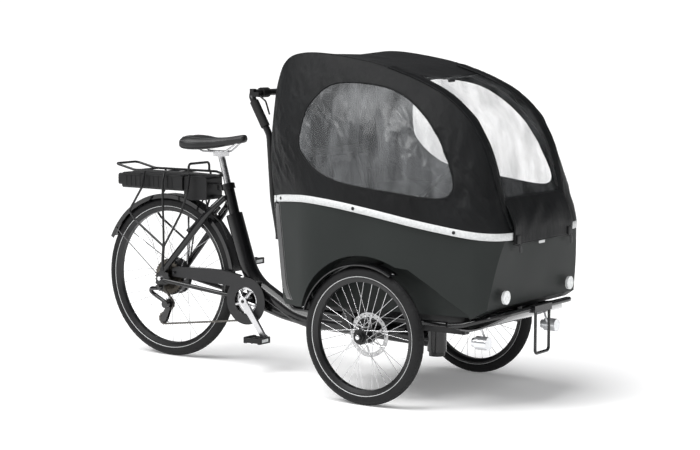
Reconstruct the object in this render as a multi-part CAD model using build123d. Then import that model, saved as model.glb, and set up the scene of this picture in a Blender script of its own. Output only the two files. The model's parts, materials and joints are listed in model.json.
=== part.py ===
from build123d import *
import math
import os

os.makedirs("parts", exist_ok=True)

# A three-wheeled electric cargo bicycle. Everything is drawn in millimetres with the rear wheel's
# contact point at X = 0, +X forward, +Y left, +Z up. save() then moves each piece so that the
# origin is at the middle of the footprint, on the ground.

# ---------------------------------------------------------------- driving dimensions
OVERALL_LENGTH = 2040
REAR_R = 323.5
FRONT_R = 247.8
TYRE_SECTION_R = 22.5
WHEELBASE = 1205.6
FRONT_TRACK_HALF = 387.6
HALF_WIDTH = 430
RUNNING_GAP = 0.05

REAR_HUB = Vector(0, 0, REAR_R)
FRONT_HUB_X = WHEELBASE
STEER_X = 1270
BB = Vector(420, 0, 265)
SEAT_TOP = Vector(290, 0, 718)
SEAT_AXIS = (SEAT_TOP - BB).normalized()
CRANK_LENGTH = 170
CRANK_ANGLE = -53
CHAIN_Y = -43.5
PITCH = 12.7
CHAINRING_TEETH = 38
DRIVEN_TEETH = 18
JOCKEY_TEETH = 11
JOCKEY_LOWER = Vector(-7, 0, 156)
JOCKEY_UPPER = Vector(21, 0, 219)
SHIFT_X = REAR_R - OVERALL_LENGTH / 2

WALL = 5
RIM_BACK_X = 744
BACK_SLOPE = 0.165
RIM_FRONT_X = 1702
FLOOR_Z = 325


# ---------------------------------------------------------------- helpers
def save(name, *shapes):
    """Write one sub-part, moved so that the footprint's middle is the origin."""
    solids = [solid for shape in shapes for solid in shape.solids()]
    whole = solids[0] if len(solids) == 1 else Compound(children=solids)
    export_step(Pos(SHIFT_X, 0, 0) * whole, "parts/" + name + ".step")


def rod(start, end, radius):
    """A round bar between two points."""
    start = Vector(*start)
    run = Vector(*end) - start
    return extrude(Plane(origin=start, z_dir=run) * Circle(radius), amount=run.length)


def sleeve(start, end, outer, inner):
    """A round tube between two points."""
    start = Vector(*start)
    run = Vector(*end) - start
    ring = Plane(origin=start, z_dir=run) * (Circle(outer) - Circle(inner))
    return extrude(ring, amount=run.length)


def bent_tube(points, radius, bends):
    """A round bar along straight runs that are joined by tangent arcs."""
    path = FilletPolyline(*points, radius=bends)
    section = Plane(origin=path @ 0, z_dir=path % 0) * Circle(radius)
    return sweep(section, path=path)


def block(low, high):
    """A box between two corners."""
    size = [b - a for a, b in zip(low, high)]
    middle = [(a + b) / 2 for a, b in zip(low, high)]
    return Pos(*middle) * Box(*size)


def side_plate(outline, y_low, y_high):
    """An outline in X and Z, made solid from y_low to y_high."""
    face = make_face(Polyline(*[(x, 0, z) for x, z in outline], close=True))
    return extrude(Pos(0, y_high, 0) * face, amount=y_high - y_low, dir=(0, -1, 0))


def disc(centre, radius, y_low, y_high):
    """A disc whose axis runs along Y."""
    return rod((centre.X, y_low, centre.Z), (centre.X, y_high, centre.Z), radius)


def mirror_y(shape):
    return mirror(shape, about=Plane.XZ)


def both_sides(shape):
    return [shape, mirror_y(shape)]


def ring_profile(centre, points):
    """Turn a closed (radius, y) outline a full turn about the wheel's own axle line."""
    face = make_face(Polyline(*[(centre.X, y, centre.Z + r) for r, y in points], close=True))
    return revolve(face, Axis((centre.X, 0, centre.Z), (0, 1, 0)), 360)


def pitch_radius(teeth):
    return PITCH / (2 * math.sin(math.pi / teeth))


def polar(centre, radius, degrees, y):
    angle = math.radians(degrees)
    return (centre.X + radius * math.cos(angle), y, centre.Z + radius * math.sin(angle))


# ---------------------------------------------------------------- wheels
def tyre(centre, outer_r):
    """A tyre: a C-shaped section round the rim, open towards the hub."""
    crown_r = outer_r - TYRE_SECTION_R
    bead_r = crown_r - 14
    hub_plane = Plane(origin=(centre.X, centre.Y, centre.Z + crown_r), z_dir=(1, 0, 0))
    wall = hub_plane * (Circle(TYRE_SECTION_R) - Circle(TYRE_SECTION_R - 4))
    face = wall - Pos(centre.X, centre.Y, centre.Z + bead_r - 25) * Rot(0, 90, 0) * Rectangle(50, 60)
    return revolve(face, Axis((centre.X, 0, centre.Z), (0, 1, 0)), 360)


def rim(centre, outer_r, depth):
    """A box-section rim whose shoulders the tyre's beads sit in."""
    bead_r = outer_r - TYRE_SECTION_R - 14
    y = centre.Y
    shoulder = 3
    outline = [
        (bead_r + shoulder, y + 17), (bead_r + shoulder, y + 15.5), (bead_r - 4, y + 13),
        (bead_r - 4, y - 13), (bead_r + shoulder, y - 15.5), (bead_r + shoulder, y - 17),
        (bead_r - 5, y - 16), (bead_r - depth, y - 10), (bead_r - depth, y + 10), (bead_r - 5, y + 16),
    ]
    return ring_profile(centre, outline)


def spokes(centre, hub_r, flanges, rim_r, count, lead):
    """Crossed spokes: each pair leans forwards and backwards from its flange to the rim."""
    made = []
    for index in range(count):
        side = flanges[index % 2]
        lean = lead if index % 4 < 2 else -lead
        head = 1.6 if lean > 0 else -1.6
        at_rim = 360 * index / count
        inner = polar(centre, hub_r, at_rim + lean, side + head)
        outer = polar(centre, rim_r + 1.5, at_rim, centre.Y + (side - centre.Y) * 0.08)
        made.append(rod(inner, outer, 1.0))
    return made


# ---------------------------------------------------------------- rear frame
def main_frame():
    """Seat tube, sweeping main tube, bottom bracket shell and steering head, welded together."""
    seat_tube = rod(tuple(BB), tuple(SEAT_TOP), 21)
    main_tube = bent_tube([(322, 0, 598), (410, 0, 340), (652, 0, 210), (STEER_X, 0, 190)], 33, [210, 300])
    gusset = bent_tube([tuple(BB), (560, 0, 226), (690, 0, 205)], 26, [500])
    shell = disc(BB, 23, -34, 34)
    head = rod((STEER_X, 0, 145), (STEER_X, 0, 236), 36)
    body = seat_tube + main_tube + gusset + shell + head
    post_bore = rod(tuple(BB + SEAT_AXIS * 90), tuple(SEAT_TOP + SEAT_AXIS * 5), 13.6 + RUNNING_GAP)
    axle_bore = disc(BB, 9 + RUNNING_GAP, -40, 40)
    steer_bore = rod((STEER_X, 0, 140), (STEER_X, 0, 240), 15 + RUNNING_GAP)
    return body - post_bore - axle_bore - steer_bore


DROPOUT_Y = 67.5


# The brake arms turn on studs that stand square to the seat stays.
BRAKE_PIVOT = Vector(154, 60.2, 513.8)
BRAKE_AXIS = Vector(-math.sin(math.radians(50)), 0, math.cos(math.radians(50)))
BRAKE_STUD_R = 4


def seat_stays():
    stay = bent_tube([(288, 20, 664), (236, 54, 606), (14, 70.7, 356.3)], 13, [180])
    stud = rod(tuple(BRAKE_PIVOT), tuple(BRAKE_PIVOT + BRAKE_AXIS * 28), BRAKE_STUD_R)
    tab = rod((232, 18, 590), (262, 18, 622), 7)
    return stay, stud, tab


def chain_stays():
    stay = bent_tube([(402, 26, 268), (305, 33.5, 279), (18, 74, 318)], 9, [300])
    plate = side_plate([(-26, 300), (-20, 342), (4, 360), (40, 346), (46, 306), (6, 292)], 68, 74)
    hanger = side_plate([(-14, 302), (16, 300), (8, 272), (-10, 272)], -74, -68)
    slot = disc(REAR_HUB, 6 + RUNNING_GAP, 60, 80)
    left = stay + (plate - slot)
    return [left, mirror_y(left) + hanger]


def rear_mudguard():
    """A channel-section guard over the rear tyre, with the wire stay that holds its tail."""
    # y, radius
    outline = [(-29, 322), (-29, 338), (-27, 340), (27, 340), (29, 338), (29, 322), (27.4, 322),
               (27.4, 337), (26, 338.4), (-26, 338.4), (-27.4, 337), (-27.4, 322)]
    face = make_face(Polyline(*[(r, y, REAR_R) for y, r in outline], close=True))
    channel = revolve(face, Axis((0, 0, REAR_R), (0, -1, 0)), 146)
    tail = Rot(0, -8, 0)
    guard = Pos(0, 0, REAR_R) * tail * Pos(0, 0, -REAR_R) * channel
    wires = []
    for side in (-1, 1):
        top = polar(REAR_HUB, 331, 146, side * 30.5)
        wires.append(rod(top, (-14, side * 76.5, REAR_R + 16), 1.8))
    clip = polar(REAR_HUB, 331, 146, 0)
    ears = rod((clip[0], -33, clip[2]), (clip[0], -28.5, clip[2]), 5)
    return [guard, *wires, *both_sides(ears)]


RACK_Z = 757
RACK_HALF = 65


def rear_rack():
    """Carrier of welded tube: two side rails with a raised tail, hoop, cross bars and legs."""
    tube_r = 5
    rails = bent_tube([(262, -22, RACK_Z - 8), (180, -RACK_HALF, RACK_Z), (-140, -RACK_HALF, RACK_Z),
                       (-240, -RACK_HALF, RACK_Z + 22), (-240, RACK_HALF, RACK_Z + 22),
                       (-140, RACK_HALF, RACK_Z), (180, RACK_HALF, RACK_Z), (262, 22, RACK_Z - 8)],
                      tube_r, [30, 40, 18, 18, 40, 30])
    hoop = bent_tube([(144, -RACK_HALF, RACK_Z), (144, -RACK_HALF, RACK_Z + 36),
                      (144, RACK_HALF, RACK_Z + 36), (144, RACK_HALF, RACK_Z)], tube_r, [14, 14])
    welded = rails + hoop
    for x in (-120, 20, 90):
        welded += rod((x, -RACK_HALF, RACK_Z), (x, RACK_HALF, RACK_Z), 4)
    for side in (-1, 1):
        y = side * 80
        foot = (24, y, 455)
        rail = side * RACK_HALF
        welded += bent_tube([(-86, rail, RACK_Z), (-88, y, 690), (-158, y, 590), (-125, y, 553), foot],
                            4.5, [20, 14, 14])
        welded += bent_tube([(20, rail, RACK_Z), (20, y, 715), foot], 4.5, [20])
        welded += bent_tube([(150, rail, RACK_Z), (148, y, 680), (112, y, 590), foot], 4.5, [20, 30])
        welded += bent_tube([(24, y, 468), (18, y, 400), (16, side * 79, 362)], 6, [20])
        welded += rod((16, side * 74.2, 362), (16, side * 86, 362), 9)
    seat_plate = block((255, -24, RACK_Z - 14), (263, 24, RACK_Z - 3))
    return welded + seat_plate


def controller_box():
    body = block((106, -50, 650), (222, 50, 742))
    body = fillet(body.edges().filter_by(Axis.Y), 10)
    lug = block((220, -12, 658), (290, 12, 668)) - rod(tuple(BB), tuple(SEAT_TOP), 21)
    return body + lug


def battery():
    """Carrier battery: ribbed case with a handle end and built-in lamp."""
    case = fillet(block((-215, -58, 681), (104, 58, 744)).edges().filter_by(Axis.X), 12)
    for x in range(-190, 60, 24):
        case -= block((x, -60, 690), (x + 10, -56.5, 735))
        case -= block((x, 56.5, 690), (x + 10, 60, 735))
    tail = fillet(block((-245, -46, 692), (-214, 46, 738)).edges().filter_by(Axis.X), 10)
    grip_slot = block((-238, -30, 685), (-224, 30, 745))
    return case + (tail - grip_slot)


def chain_case():
    """Chain guard: a ring round the chainring and an arm over the chain's upper run."""
    y_out = -55.5
    y_in = -53
    ring = disc(BB, 94, y_out, y_in)
    arm = side_plate([(46, 334), (46, 366), (70, 372), (300, 376), (392, 362), (420, 330), (345, 318)],
                     y_out, y_in)
    lip = side_plate([(60, 369), (70, 374), (300, 378), (392, 364), (392, 360), (300, 374), (70, 370)],
                     y_out, -38)
    hole = disc(BB, 54, -60, -50)
    foot = rod((60, y_in, 352), (60, -64, 348), 5)
    anchor = polar(BB, 88, 55, 0)
    bracket = rod((anchor[0], y_in, anchor[2]), (anchor[0], -15, anchor[2]), 5)
    return (ring + arm - hole) + lip + foot + bracket


def chain_loop():
    """The chain's two rows of side plates, on their path round the sprockets."""
    big_r = pitch_radius(CHAINRING_TEETH)
    small_r = pitch_radius(DRIVEN_TEETH)
    jockey_r = pitch_radius(JOCKEY_TEETH)
    half = 4.2
    rows = []
    outer_hull = side_hull([(BB, big_r + half), (REAR_HUB, small_r + half), (JOCKEY_LOWER, jockey_r + half)])
    inner_hull = side_hull([(BB, big_r - half), (REAR_HUB, small_r - half), (JOCKEY_LOWER, jockey_r - half)])
    band = outer_hull - inner_hull
    for offset in (-3.0, 3.0):
        rows.append(extrude(Pos(0, CHAIN_Y + offset + 0.5, 0) * band, amount=1.0, dir=(0, -1, 0)))
    return rows


def side_hull(circles):
    """The tight outline round several circles, as a face in the XZ plane at Y = 0."""
    plane = Plane(origin=(0, 0, 0), x_dir=(1, 0, 0), z_dir=(0, -1, 0))
    edges = [edge for c, r in circles for edge in (Pos(c.X, c.Z) * Circle(r)).edges()]
    return plane * make_hull(edges)


def derailleur():
    """Rear derailleur: mounting knuckle, linkage body and the two cage plates."""
    knuckle = rod((-2, -66.5, 288), (-2, -92, 288), 11)
    link = bent_tube([(-4, -86, 284), (-62, -84, 280), (-30, -74, 255), (20, -66, 226)], 8, [12, 40])
    pulley_body = rod((21, -58, 219), (21, -76, 219), 15)
    made = knuckle + link + pulley_body
    outline = [(12, 230), (34, 226), (30, 200), (6, 146), (-16, 140), (-20, 160), (2, 196)]
    plates = side_plate(outline, CHAIN_Y - 8.5, CHAIN_Y - 6.5)
    plates += side_plate(outline, CHAIN_Y + 6.5, CHAIN_Y + 8)
    pins = [rod((c.X, CHAIN_Y - 8.5, c.Z), (c.X, CHAIN_Y + 8, c.Z), 3) for c in (JOCKEY_LOWER, JOCKEY_UPPER)]
    neck = rod((21, CHAIN_Y - 8, 219), (21, -60, 219), 9)
    return made + plates + pins[0] + pins[1] + neck


def toothed(centre, teeth, y_low, y_high, bore, tip=3.0):
    """A sprocket with V-shaped teeth and a round bore."""
    root = pitch_radius(teeth) - 3.2
    outer = pitch_radius(teeth) + tip
    points = []
    for index in range(teeth):
        base = 360 * index / teeth
        step = 360 / teeth
        for share, radius in ((-0.28, root), (-0.1, outer), (0.1, outer), (0.28, root)):
            x, _, z = polar(centre, radius, base + share * step, 0)
            points.append((x, z))
    return side_plate(points, y_low, y_high) - disc(centre, bore, y_low - 1, y_high + 1)


def cassette():
    """Seven sprockets on a freewheel body, the largest next to the hub."""
    teeth = [34, 24, 22, 20, DRIVEN_TEETH, 16, 14]
    stack = disc(REAR_HUB, 16, -54.5, -22) - disc(REAR_HUB, 8, -60, -20)
    for index, count in enumerate(teeth):
        y = CHAIN_Y + 20 - 5 * index
        stack += toothed(REAR_HUB, count, y - 0.9, y + 0.9, 15)
    return stack


def rear_axle():
    axle = disc(REAR_HUB, 6, -86, 86)
    for side in (-1, 1):
        nut_plane = Plane(origin=(0, side * 74.3, REAR_R), z_dir=(0, side, 0))
        axle += extrude(nut_plane * RegularPolygon(9.5, 6), amount=9)
    return axle


def rear_hub_motor():
    """Hub motor: a stepped drum with a spoke flange on each side."""
    outline = [(6 + RUNNING_GAP, -21), (30, -21), (58, -17), (74, -14), (74, -10), (68, -9), (68, 33),
               (74, 34), (74, 38), (56, 43), (26, 52), (20, 62), (6 + RUNNING_GAP, 62)]
    return ring_profile(REAR_HUB, outline)


def brake_arm(side):
    """One V-brake arm on its stud, with its pad just clear of the rim."""
    pivot = Vector(BRAKE_PIVOT.X, side * BRAKE_PIVOT.Y, BRAKE_PIVOT.Z)
    boss = sleeve(tuple(pivot + BRAKE_AXIS * 14.5), tuple(pivot + BRAKE_AXIS * 26), 8.5,
                  BRAKE_STUD_R + RUNNING_GAP)
    root = pivot + BRAKE_AXIS * 20 + Vector(5, -side, 5.5)
    arm = rod(tuple(root), (201.8, side * 40, 597.9), 4.5)
    pad_centre = polar(REAR_HUB, 277, 55, 0)
    along = Vector(math.cos(math.radians(145)), 0, math.sin(math.radians(145)))
    base = Vector(pad_centre[0], side * 19.8, pad_centre[2])
    pad = rod(tuple(base - along * 28), tuple(base + along * 28), 3.8)
    pin = rod(tuple(base), (160, side * 53.3, 550.8), 3)
    return boss + arm + pad + pin


# ---------------------------------------------------------------- saddle and post
def seatpost():
    start = SEAT_TOP - SEAT_AXIS * 200
    top = SEAT_TOP + SEAT_AXIS * 116
    post = rod(tuple(start), tuple(top), 13.6)
    clamp = block((top.X - 22, -24, top.Z - 4), (top.X + 22, 24, top.Z + 18))
    for side in (-1, 1):
        y = side * 22
        clamp += bent_tube([(130, y * 1.5, 868), (180, y, top.Z + 14), (290, y, top.Z + 14),
                            (352, y * 0.5, 884)], 3.5, [40, 40])
    return post + clamp


def saddle():
    """Closed saddle body: broad at the back, narrow at the nose."""
    stations = [(82, 58, 864, 20), (110, 84, 868, 25), (170, 76, 872, 28), (240, 40, 880, 25),
                (310, 25, 892, 20), (372, 20, 896, 17), (384, 13, 896, 11)]
    faces = []
    for x, half_width, z, half_height in stations:
        place = Plane(origin=(x, 0, z + 3), x_dir=(0, 1, 0), z_dir=(1, 0, 0))
        faces.append(place * Ellipse(half_width, half_height))
    return loft(Sketch() + faces)


def seat_clamp():
    low = SEAT_TOP - SEAT_AXIS * 24
    high = SEAT_TOP - SEAT_AXIS * 2
    collar = sleeve(tuple(low), tuple(high), 27, 21.2)
    ear = block((243, -8, 690), (268, 8, 711)) - rod(tuple(low), tuple(high), 22)
    return collar + (ear - rod((252, 0, 680), (252, 0, 730), 3))


def seat_clamp_lever():
    pin = rod((252, 0, 686), (252, 0, 716), 3 - RUNNING_GAP)
    head = rod((252, 0, 711.5), (252, 0, 720), 8)
    blade = bent_tube([(250, 0, 716.5), (240, -10, 716.5), (226, -34, 716.5)], 4, [20])
    return pin + head + blade


# ---------------------------------------------------------------- crank and pedals
def crank_end(sign):
    angle = math.radians(CRANK_ANGLE)
    return BB.X + sign * CRANK_LENGTH * math.cos(angle), BB.Z + sign * CRANK_LENGTH * math.sin(angle)


def crank_arm(side):
    """side -1 is the right arm, +1 the left one."""
    x, z = crank_end(-side)
    y_in = side * 61
    y_out = side * 75
    low, high = sorted((y_in, y_out))
    eye = Vector(x, 0, z)
    arm = disc(BB, 19, low, high) + disc(eye, 14, low, high)
    run = (eye - BB).normalized()
    across = Vector(-run.Z, 0, run.X)
    corners = [BB + across * 15, eye + across * 10, eye - across * 10, BB - across * 15]
    arm += side_plate([(c.X, c.Z) for c in corners], low + 1, high - 1)
    spindle = rod((x, y_out - side * 10, z), (x, side * 146, z), 6)
    if side > 0:
        arm += disc(BB, 9, -60.5, 62)
    if side < 0:
        for index in range(5):
            tip = polar(BB, 47, CRANK_ANGLE + 36 + 72 * index, -58)
            arm += rod((BB.X, -66, BB.Z), (tip[0], -55.6, tip[2]), 6.5)
        arm -= disc(BB, 9.02, -60.5, -40)
    return arm + spindle


def chainring():
    ring = toothed(BB, CHAINRING_TEETH, CHAIN_Y - 1, CHAIN_Y + 1, 42)
    for index in range(5):
        tip = polar(BB, 47, CRANK_ANGLE + 36 + 72 * index, 0)
        ring += rod((tip[0], -49, tip[2]), (tip[0], CHAIN_Y + 1, tip[2]), 7)
    return ring


def pedal(side):
    """A flat pedal: two long bearers, end plates and a centre barrel on the spindle."""
    x, z = crank_end(-side)
    low, high = sorted((side * 84, side * 150))
    barrel = disc(Vector(x, 0, z), 11, low, high)
    bore = disc(Vector(x, 0, z), 6 + RUNNING_GAP, side * 70, side * 147) if side > 0 else \
        disc(Vector(x, 0, z), 6 + RUNNING_GAP, side * 147, side * 70)
    body = barrel
    for end_x in (x - 40, x + 28):
        body += block((end_x, low, z - 12), (end_x + 12, high, z + 12))
    for y in (low, (low + high) / 2 - 5, high - 10):
        body += block((x - 40, y, z - 9), (x + 40, y + 10, z + 9))
    return body - bore


# ---------------------------------------------------------------- cabin
def rim_curve(dz=0):
    """Height of the cabin's edge from back to front."""
    return [(700, 716 + dz), (850, 730 + dz), (1000, 733 + dz), (1200, 711 + dz), (1450, 664 + dz),
            (1600, 642 + dz), (1760, 628 + dz)]


def cabin_plan(inset, bottom, top):
    """The cabin's outline seen from above, moved inwards by inset."""
    half = [(RIM_BACK_X, 305, 45), (962, 402, 260), (1295, 402, 500), (RIM_FRONT_X, 330, 110)]
    right = [(x, -y, r) for x, y, r in half]
    left = [(x, y, r) for x, y, r in reversed(half)]
    corners = right + left
    path = FilletPolyline(*[(x, y, bottom) for x, y, _ in corners],
                          radius=[r for _, _, r in corners], close=True)
    face = make_face(path)
    if inset:
        face = offset(face, amount=-inset)
    return extrude(face, amount=top - bottom, dir=(0, 0, 1))


def cabin_side(inset, dz=0):
    """The cabin's outline seen from the side, as a solid that is wider than the cabin."""
    rim_edge = Spline(*[(x, 0, z) for x, z in rim_curve(dz)])
    start = rim_edge @ 0
    end = rim_edge @ 1
    bottom_z = FLOOR_Z + inset
    back_top_x = 812 + inset - BACK_SLOPE * (start.Z - bottom_z - 14)
    corners = [(back_top_x, start.Z), (812 + inset, bottom_z + 14), (826 + inset, bottom_z),
               (1618, bottom_z + 16), (1666 - inset, bottom_z + 44), (1704 - inset, end.Z)]
    walls = Polyline(tuple(start), *[(x, 0, z) for x, z in corners], tuple(end))
    face = make_face(Curve() + [rim_edge, walls])
    return extrude(Pos(0, 500, 0) * face, amount=1000, dir=(0, -1, 0))


WELL_R = 287
WELL_Y = 322


def wheel_well(grow):
    """The space beside a front wheel: round over the wheel, sloping down in front of it."""
    centre = Vector(FRONT_HUB_X, 0, FRONT_R)
    arch = disc(centre, WELL_R + grow, WELL_Y - grow, 480)
    slope = side_plate([(1205, 300), (1395, 462 + grow), (1470, 440 + grow), (1612 + grow, 350),
                        (1612 + grow, 250), (1205, 250)], WELL_Y - grow, 480)
    crown = side_plate([(1330, 400), (1340, 502 + grow), (1385, 498 + grow), (1500, 424 + grow), (1500, 400)],
                       WELL_Y - grow, 480)
    low = block((900, WELL_Y - grow, 200), (1612, 480, 300))
    return arch + slope + crown + low


def cabin_shell():
    """Moulded tub, open at the top, with a well over each front wheel."""
    outer = cabin_plan(0, 280, 800) & cabin_side(0)
    inner = cabin_plan(WALL, 280, 900) & cabin_side(WALL, 60)
    wells = both_sides(wheel_well(0))
    well_skins = both_sides(wheel_well(WALL))
    inner = inner - well_skins[0] - well_skins[1]
    return outer - wells[0] - wells[1] - inner


def cabin_edge_tube():
    """Tube under each side of the tub, from the rear wall down and forward to the bumper."""
    side = bent_tube([(740, 282, 690), (797, 288, 333), (832, 298, 303), (920, 308, 303),
                      (1500, 308, 306)], 9, [25, 25, 200])
    return both_sides(side)


def bench_seat():
    """Bench across the back of the tub with a raised backrest."""
    seat = block((815, -262, 480), (1075, 262, 494))
    front = block((1062, -262, 338), (1076, 262, 479.5))
    back = side_plate([(797, 500), (813, 500), (778, 880), (762, 880)], -225, 225)
    return [seat + front, back]


def seat_cushions():
    cushion = fillet(block((818, -255, 494.5), (1070, 255, 540)).edges(), 14)
    back = side_plate([(808.5, 560), (846, 560), (817, 868), (780.5, 868)], -215, 215)
    return [cushion, back]


def chassis():
    """Steel sub-frame under the tub with axle beam, stub axles, pivot plate and steering pin."""
    frame = Part()
    for side in (-1, 1):
        frame += block((890, side * 190 - 17, 256), (1512, side * 190 + 17, 324.5))
        frame += rod((FRONT_HUB_X, side * 150, FRONT_R), (FRONT_HUB_X, side * 340, FRONT_R), 20)
        frame += rod((FRONT_HUB_X, side * 330, FRONT_R), (FRONT_HUB_X, side * 424, FRONT_R), 10)
    for x in (900, 1195, 1350, 1490):
        frame += block((x, -190, 262), (x + 24, 190, 300))
    frame += block((1195, -80, 240), (1345, 80, 262.5))
    pin = rod((STEER_X, 0, 136), (STEER_X, 0, 262), 15)
    bearing_cup = rod((STEER_X, 0, 236.3), (STEER_X, 0, 245), 32)
    cap = rod((STEER_X, 0, 128), (STEER_X, 0, 144.6), 30)
    return frame + pin + bearing_cup + cap


def bumper_rail():
    """Gloss tube round the front of the tub, with the stirrup-shaped step hung from it."""
    half = [(1515, 318, 306), (1572, 322, 312), (1650, 300, 336), (1696, 230, 348)]
    points = half + [(x, -y, z) for x, y, z in reversed(half)]
    rail = bent_tube(points, 9, [60, 40, 60, 60, 40, 60])
    step = bent_tube([(1709, 50, 340), (1709, 50, 187), (1709, -50, 187), (1709, -50, 340)], 5.5, [14, 14])
    clamp = block((1690, -62, 334), (1714, 62, 358))
    rail_arms = [rod((1515, s * 318, 306), (1500, s * 200, 290), 9) for s in (-1, 1)]
    return rail + step + clamp + rail_arms[0] + rail_arms[1]


def chin_tray():
    """Bent tray under the tub's front edge, between the bumper and the floor."""
    arc = ThreePointArc((1512, 0, 290), (1610, 0, 292), (1682, 0, 334))
    skin = Line(arc @ 1, (arc @ 1) + Vector(-3, 0, 4)) 
    back = ThreePointArc(skin @ 1, (1606, 0, 296.5), (1512, 0, 295))
    close = Line(back @ 1, arc @ 0)
    face = make_face(Curve() + [arc, skin, back, close])
    tray = extrude(Pos(0, 290, 0) * face, amount=580, dir=(0, -1, 0))
    plan = FilletPolyline((1500, -285, 250), (1640, -285, 250), (1690, -180, 250), (1690, 180, 250),
                          (1640, 285, 250), (1500, 285, 250), radius=[40, 60, 60, 40, 20, 20], close=True)
    return tray & extrude(make_face(plan), amount=150, dir=(0, 0, 1))


def headlamps():
    """Two round lamps on strap brackets under the tray."""
    made = []
    for side in (-1, 1):
        y = side * 250
        shell = rod((1588, y, 243), (1636, y, 243), 24) + rod((1572, y, 243), (1589, y, 243), 16)
        strap = bent_tube([(1592, y - side * 18, 293), (1604, y - side * 24, 262), (1604, y, 226)], 4, [14])
        made += [shell + strap]
    return made


def reflectors():
    front_x = 1690
    return both_sides(rod((front_x - 2, 234, 408), (front_x + 7, 234, 408), 24))


def front_mudguard():
    centre = Vector(FRONT_HUB_X, FRONT_TRACK_HALF, FRONT_R)
    outline = [(253, -30), (257, -30), (260, -24), (260, 24), (257, 30), (253, 30), (256.5, 25), (256.5, -25)]
    face = make_face(Polyline(*[(centre.X + r, centre.Y + y, centre.Z) for r, y in outline], close=True))
    arc = revolve(face, Axis((centre.X, 0, centre.Z), (0, -1, 0)), 102)
    arc = Pos(centre.X, 0, centre.Z) * Rot(0, -61, 0) * Pos(-centre.X, 0, -centre.Z) * arc
    lug = block((1215, WELL_Y + 0.5, 500), (1245, 360, 505))
    return arc + lug


# ---------------------------------------------------------------- handlebar
BAR_Z = 1090
BAR_X = 600
BAR_HALF = 255


def handlebar():
    """Push bar: crossbar at the top, arms down to the tub's rear wall."""
    arm = [(744, 268, 560), (712, 262, 700), (690, BAR_HALF, 935), (BAR_X, BAR_HALF, BAR_Z)]
    points = arm + [(x, -y, z) for x, y, z in reversed(arm)]
    bar = bent_tube(points, 12.5, [200, 60, 28, 28, 60, 200])
    for side in (-1, 1):
        bar += block((738, side * 268 - 16, 552), (772, side * 268 + 16, 600))
    return bar


ARM_RUN = Vector(690 - BAR_X, 0, 935 - BAR_Z).normalized()
ARM_LOW = Vector(BAR_X, 0, BAR_Z) + ARM_RUN * 142
ARM_HIGH = Vector(BAR_X, 0, BAR_Z) + ARM_RUN * 36


def grips():
    made = []
    for side in (-1, 1):
        y = side * BAR_HALF
        start = (ARM_LOW.X, y, ARM_LOW.Z)
        made.append(sleeve(start, (ARM_HIGH.X, y, ARM_HIGH.Z), 17, 12.6))
    return made


LEVER_PIVOT = Vector(646, 0, 1082)


def lever_perches():
    """Clamp and lever housing at the top of each grip."""
    made = []
    for side in (-1, 1):
        y = side * BAR_HALF
        arm = Vector(612, y, 1096)
        ring = block((616, y - 9, 1076), (LEVER_PIVOT.X, y - 4, 1094))
        ring += block((616, y + 4, 1076), (LEVER_PIVOT.X, y + 9, 1094))
        ring += block((604, y - 9, 1082), (622, y + 9, 1106))
        hole = rod((LEVER_PIVOT.X - 6, y - 20, LEVER_PIVOT.Z), (LEVER_PIVOT.X - 6, y + 20, LEVER_PIVOT.Z),
                   2.5 + RUNNING_GAP)
        made.append(ring - hole)
    return made


def brake_lever(side):
    """Blade that hangs in front of the grip, on its pivot pin."""
    y = side * BAR_HALF
    pivot = (LEVER_PIVOT.X - 6, y, LEVER_PIVOT.Z)
    blade = bent_tube([pivot, (672, y, 1062), (690, y, 1012)], 3.4, [20])
    pin = rod((pivot[0], y - 9, pivot[2]), (pivot[0], y + 9, pivot[2]), 2.5)
    return blade + pin


def shifter():
    """Twist shifter ring round the crossbar."""
    return sleeve((BAR_X, -190, BAR_Z), (BAR_X, -150, BAR_Z), 19, 12.5 + RUNNING_GAP)


# ---------------------------------------------------------------- hood
FRONT_INSET = 7
HOOD_STATIONS = [  # x, half width at the rim, half width under the roof, rim height, roof height
    (740, 303, 262, 716, 1150), (800, 338, 268, 722, 1241), (950, 405, 268, 731, 1243),
    (1150, 409, 266, 716, 1213), (1340, 405, 262, 684, 1156), (1480, 384, 256, 658, 1086),
    (1580, 364, 246, 643, 980), (1640, 348, 232, 637, 840), (1680, 318, 214, 634, 706),
    (1706, 268, 200, 630, 652),
]


def hood_body(inset):
    """The hood's full volume, from a row of arched cross sections."""
    faces = []
    for x, rim_half, roof_half, rim_z, roof_z in HOOD_STATIONS:
        x -= FRONT_INSET if inset and x > 1400 else 0
        low = rim_z - 14 - (60 if inset else 0)
        height = roof_z - low
        shoulder = 0.18 * height
        right = [(-rim_half + inset, low), (-rim_half + inset, rim_z + 0.12 * height),
                 (-roof_half - 22 + inset, roof_z - shoulder), (-roof_half + 22 + inset, roof_z - inset)]
        left = [(-y, z) for y, z in reversed(right)]
        place = Plane(origin=(x, 0, 0), x_dir=(0, 1, 0), z_dir=(1, 0, 0))
        faces.append(place * make_face(Polyline(*(right + left), close=True)))
    return loft(Sketch() + faces, ruled=True)


def side_window():
    """Rounded opening in the hood's side panel."""
    outline = [(938, 890), (920, 966), (946, 1062), (1039, 1134), (1253, 1120), (1400, 1036), (1500, 908),
               (1535, 765), (1316, 768), (1060, 806)]
    edge = Spline(*[(x, 0, z) for x, z in outline], periodic=True)
    return extrude(Pos(0, 500, 0) * make_face(edge), amount=300, dir=(0, -1, 0))


def front_window():
    """The clear sheet between the hood's two side arcs, above the front flap."""
    return block((1150, -206, 735), (1760, 206, 1300))


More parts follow.
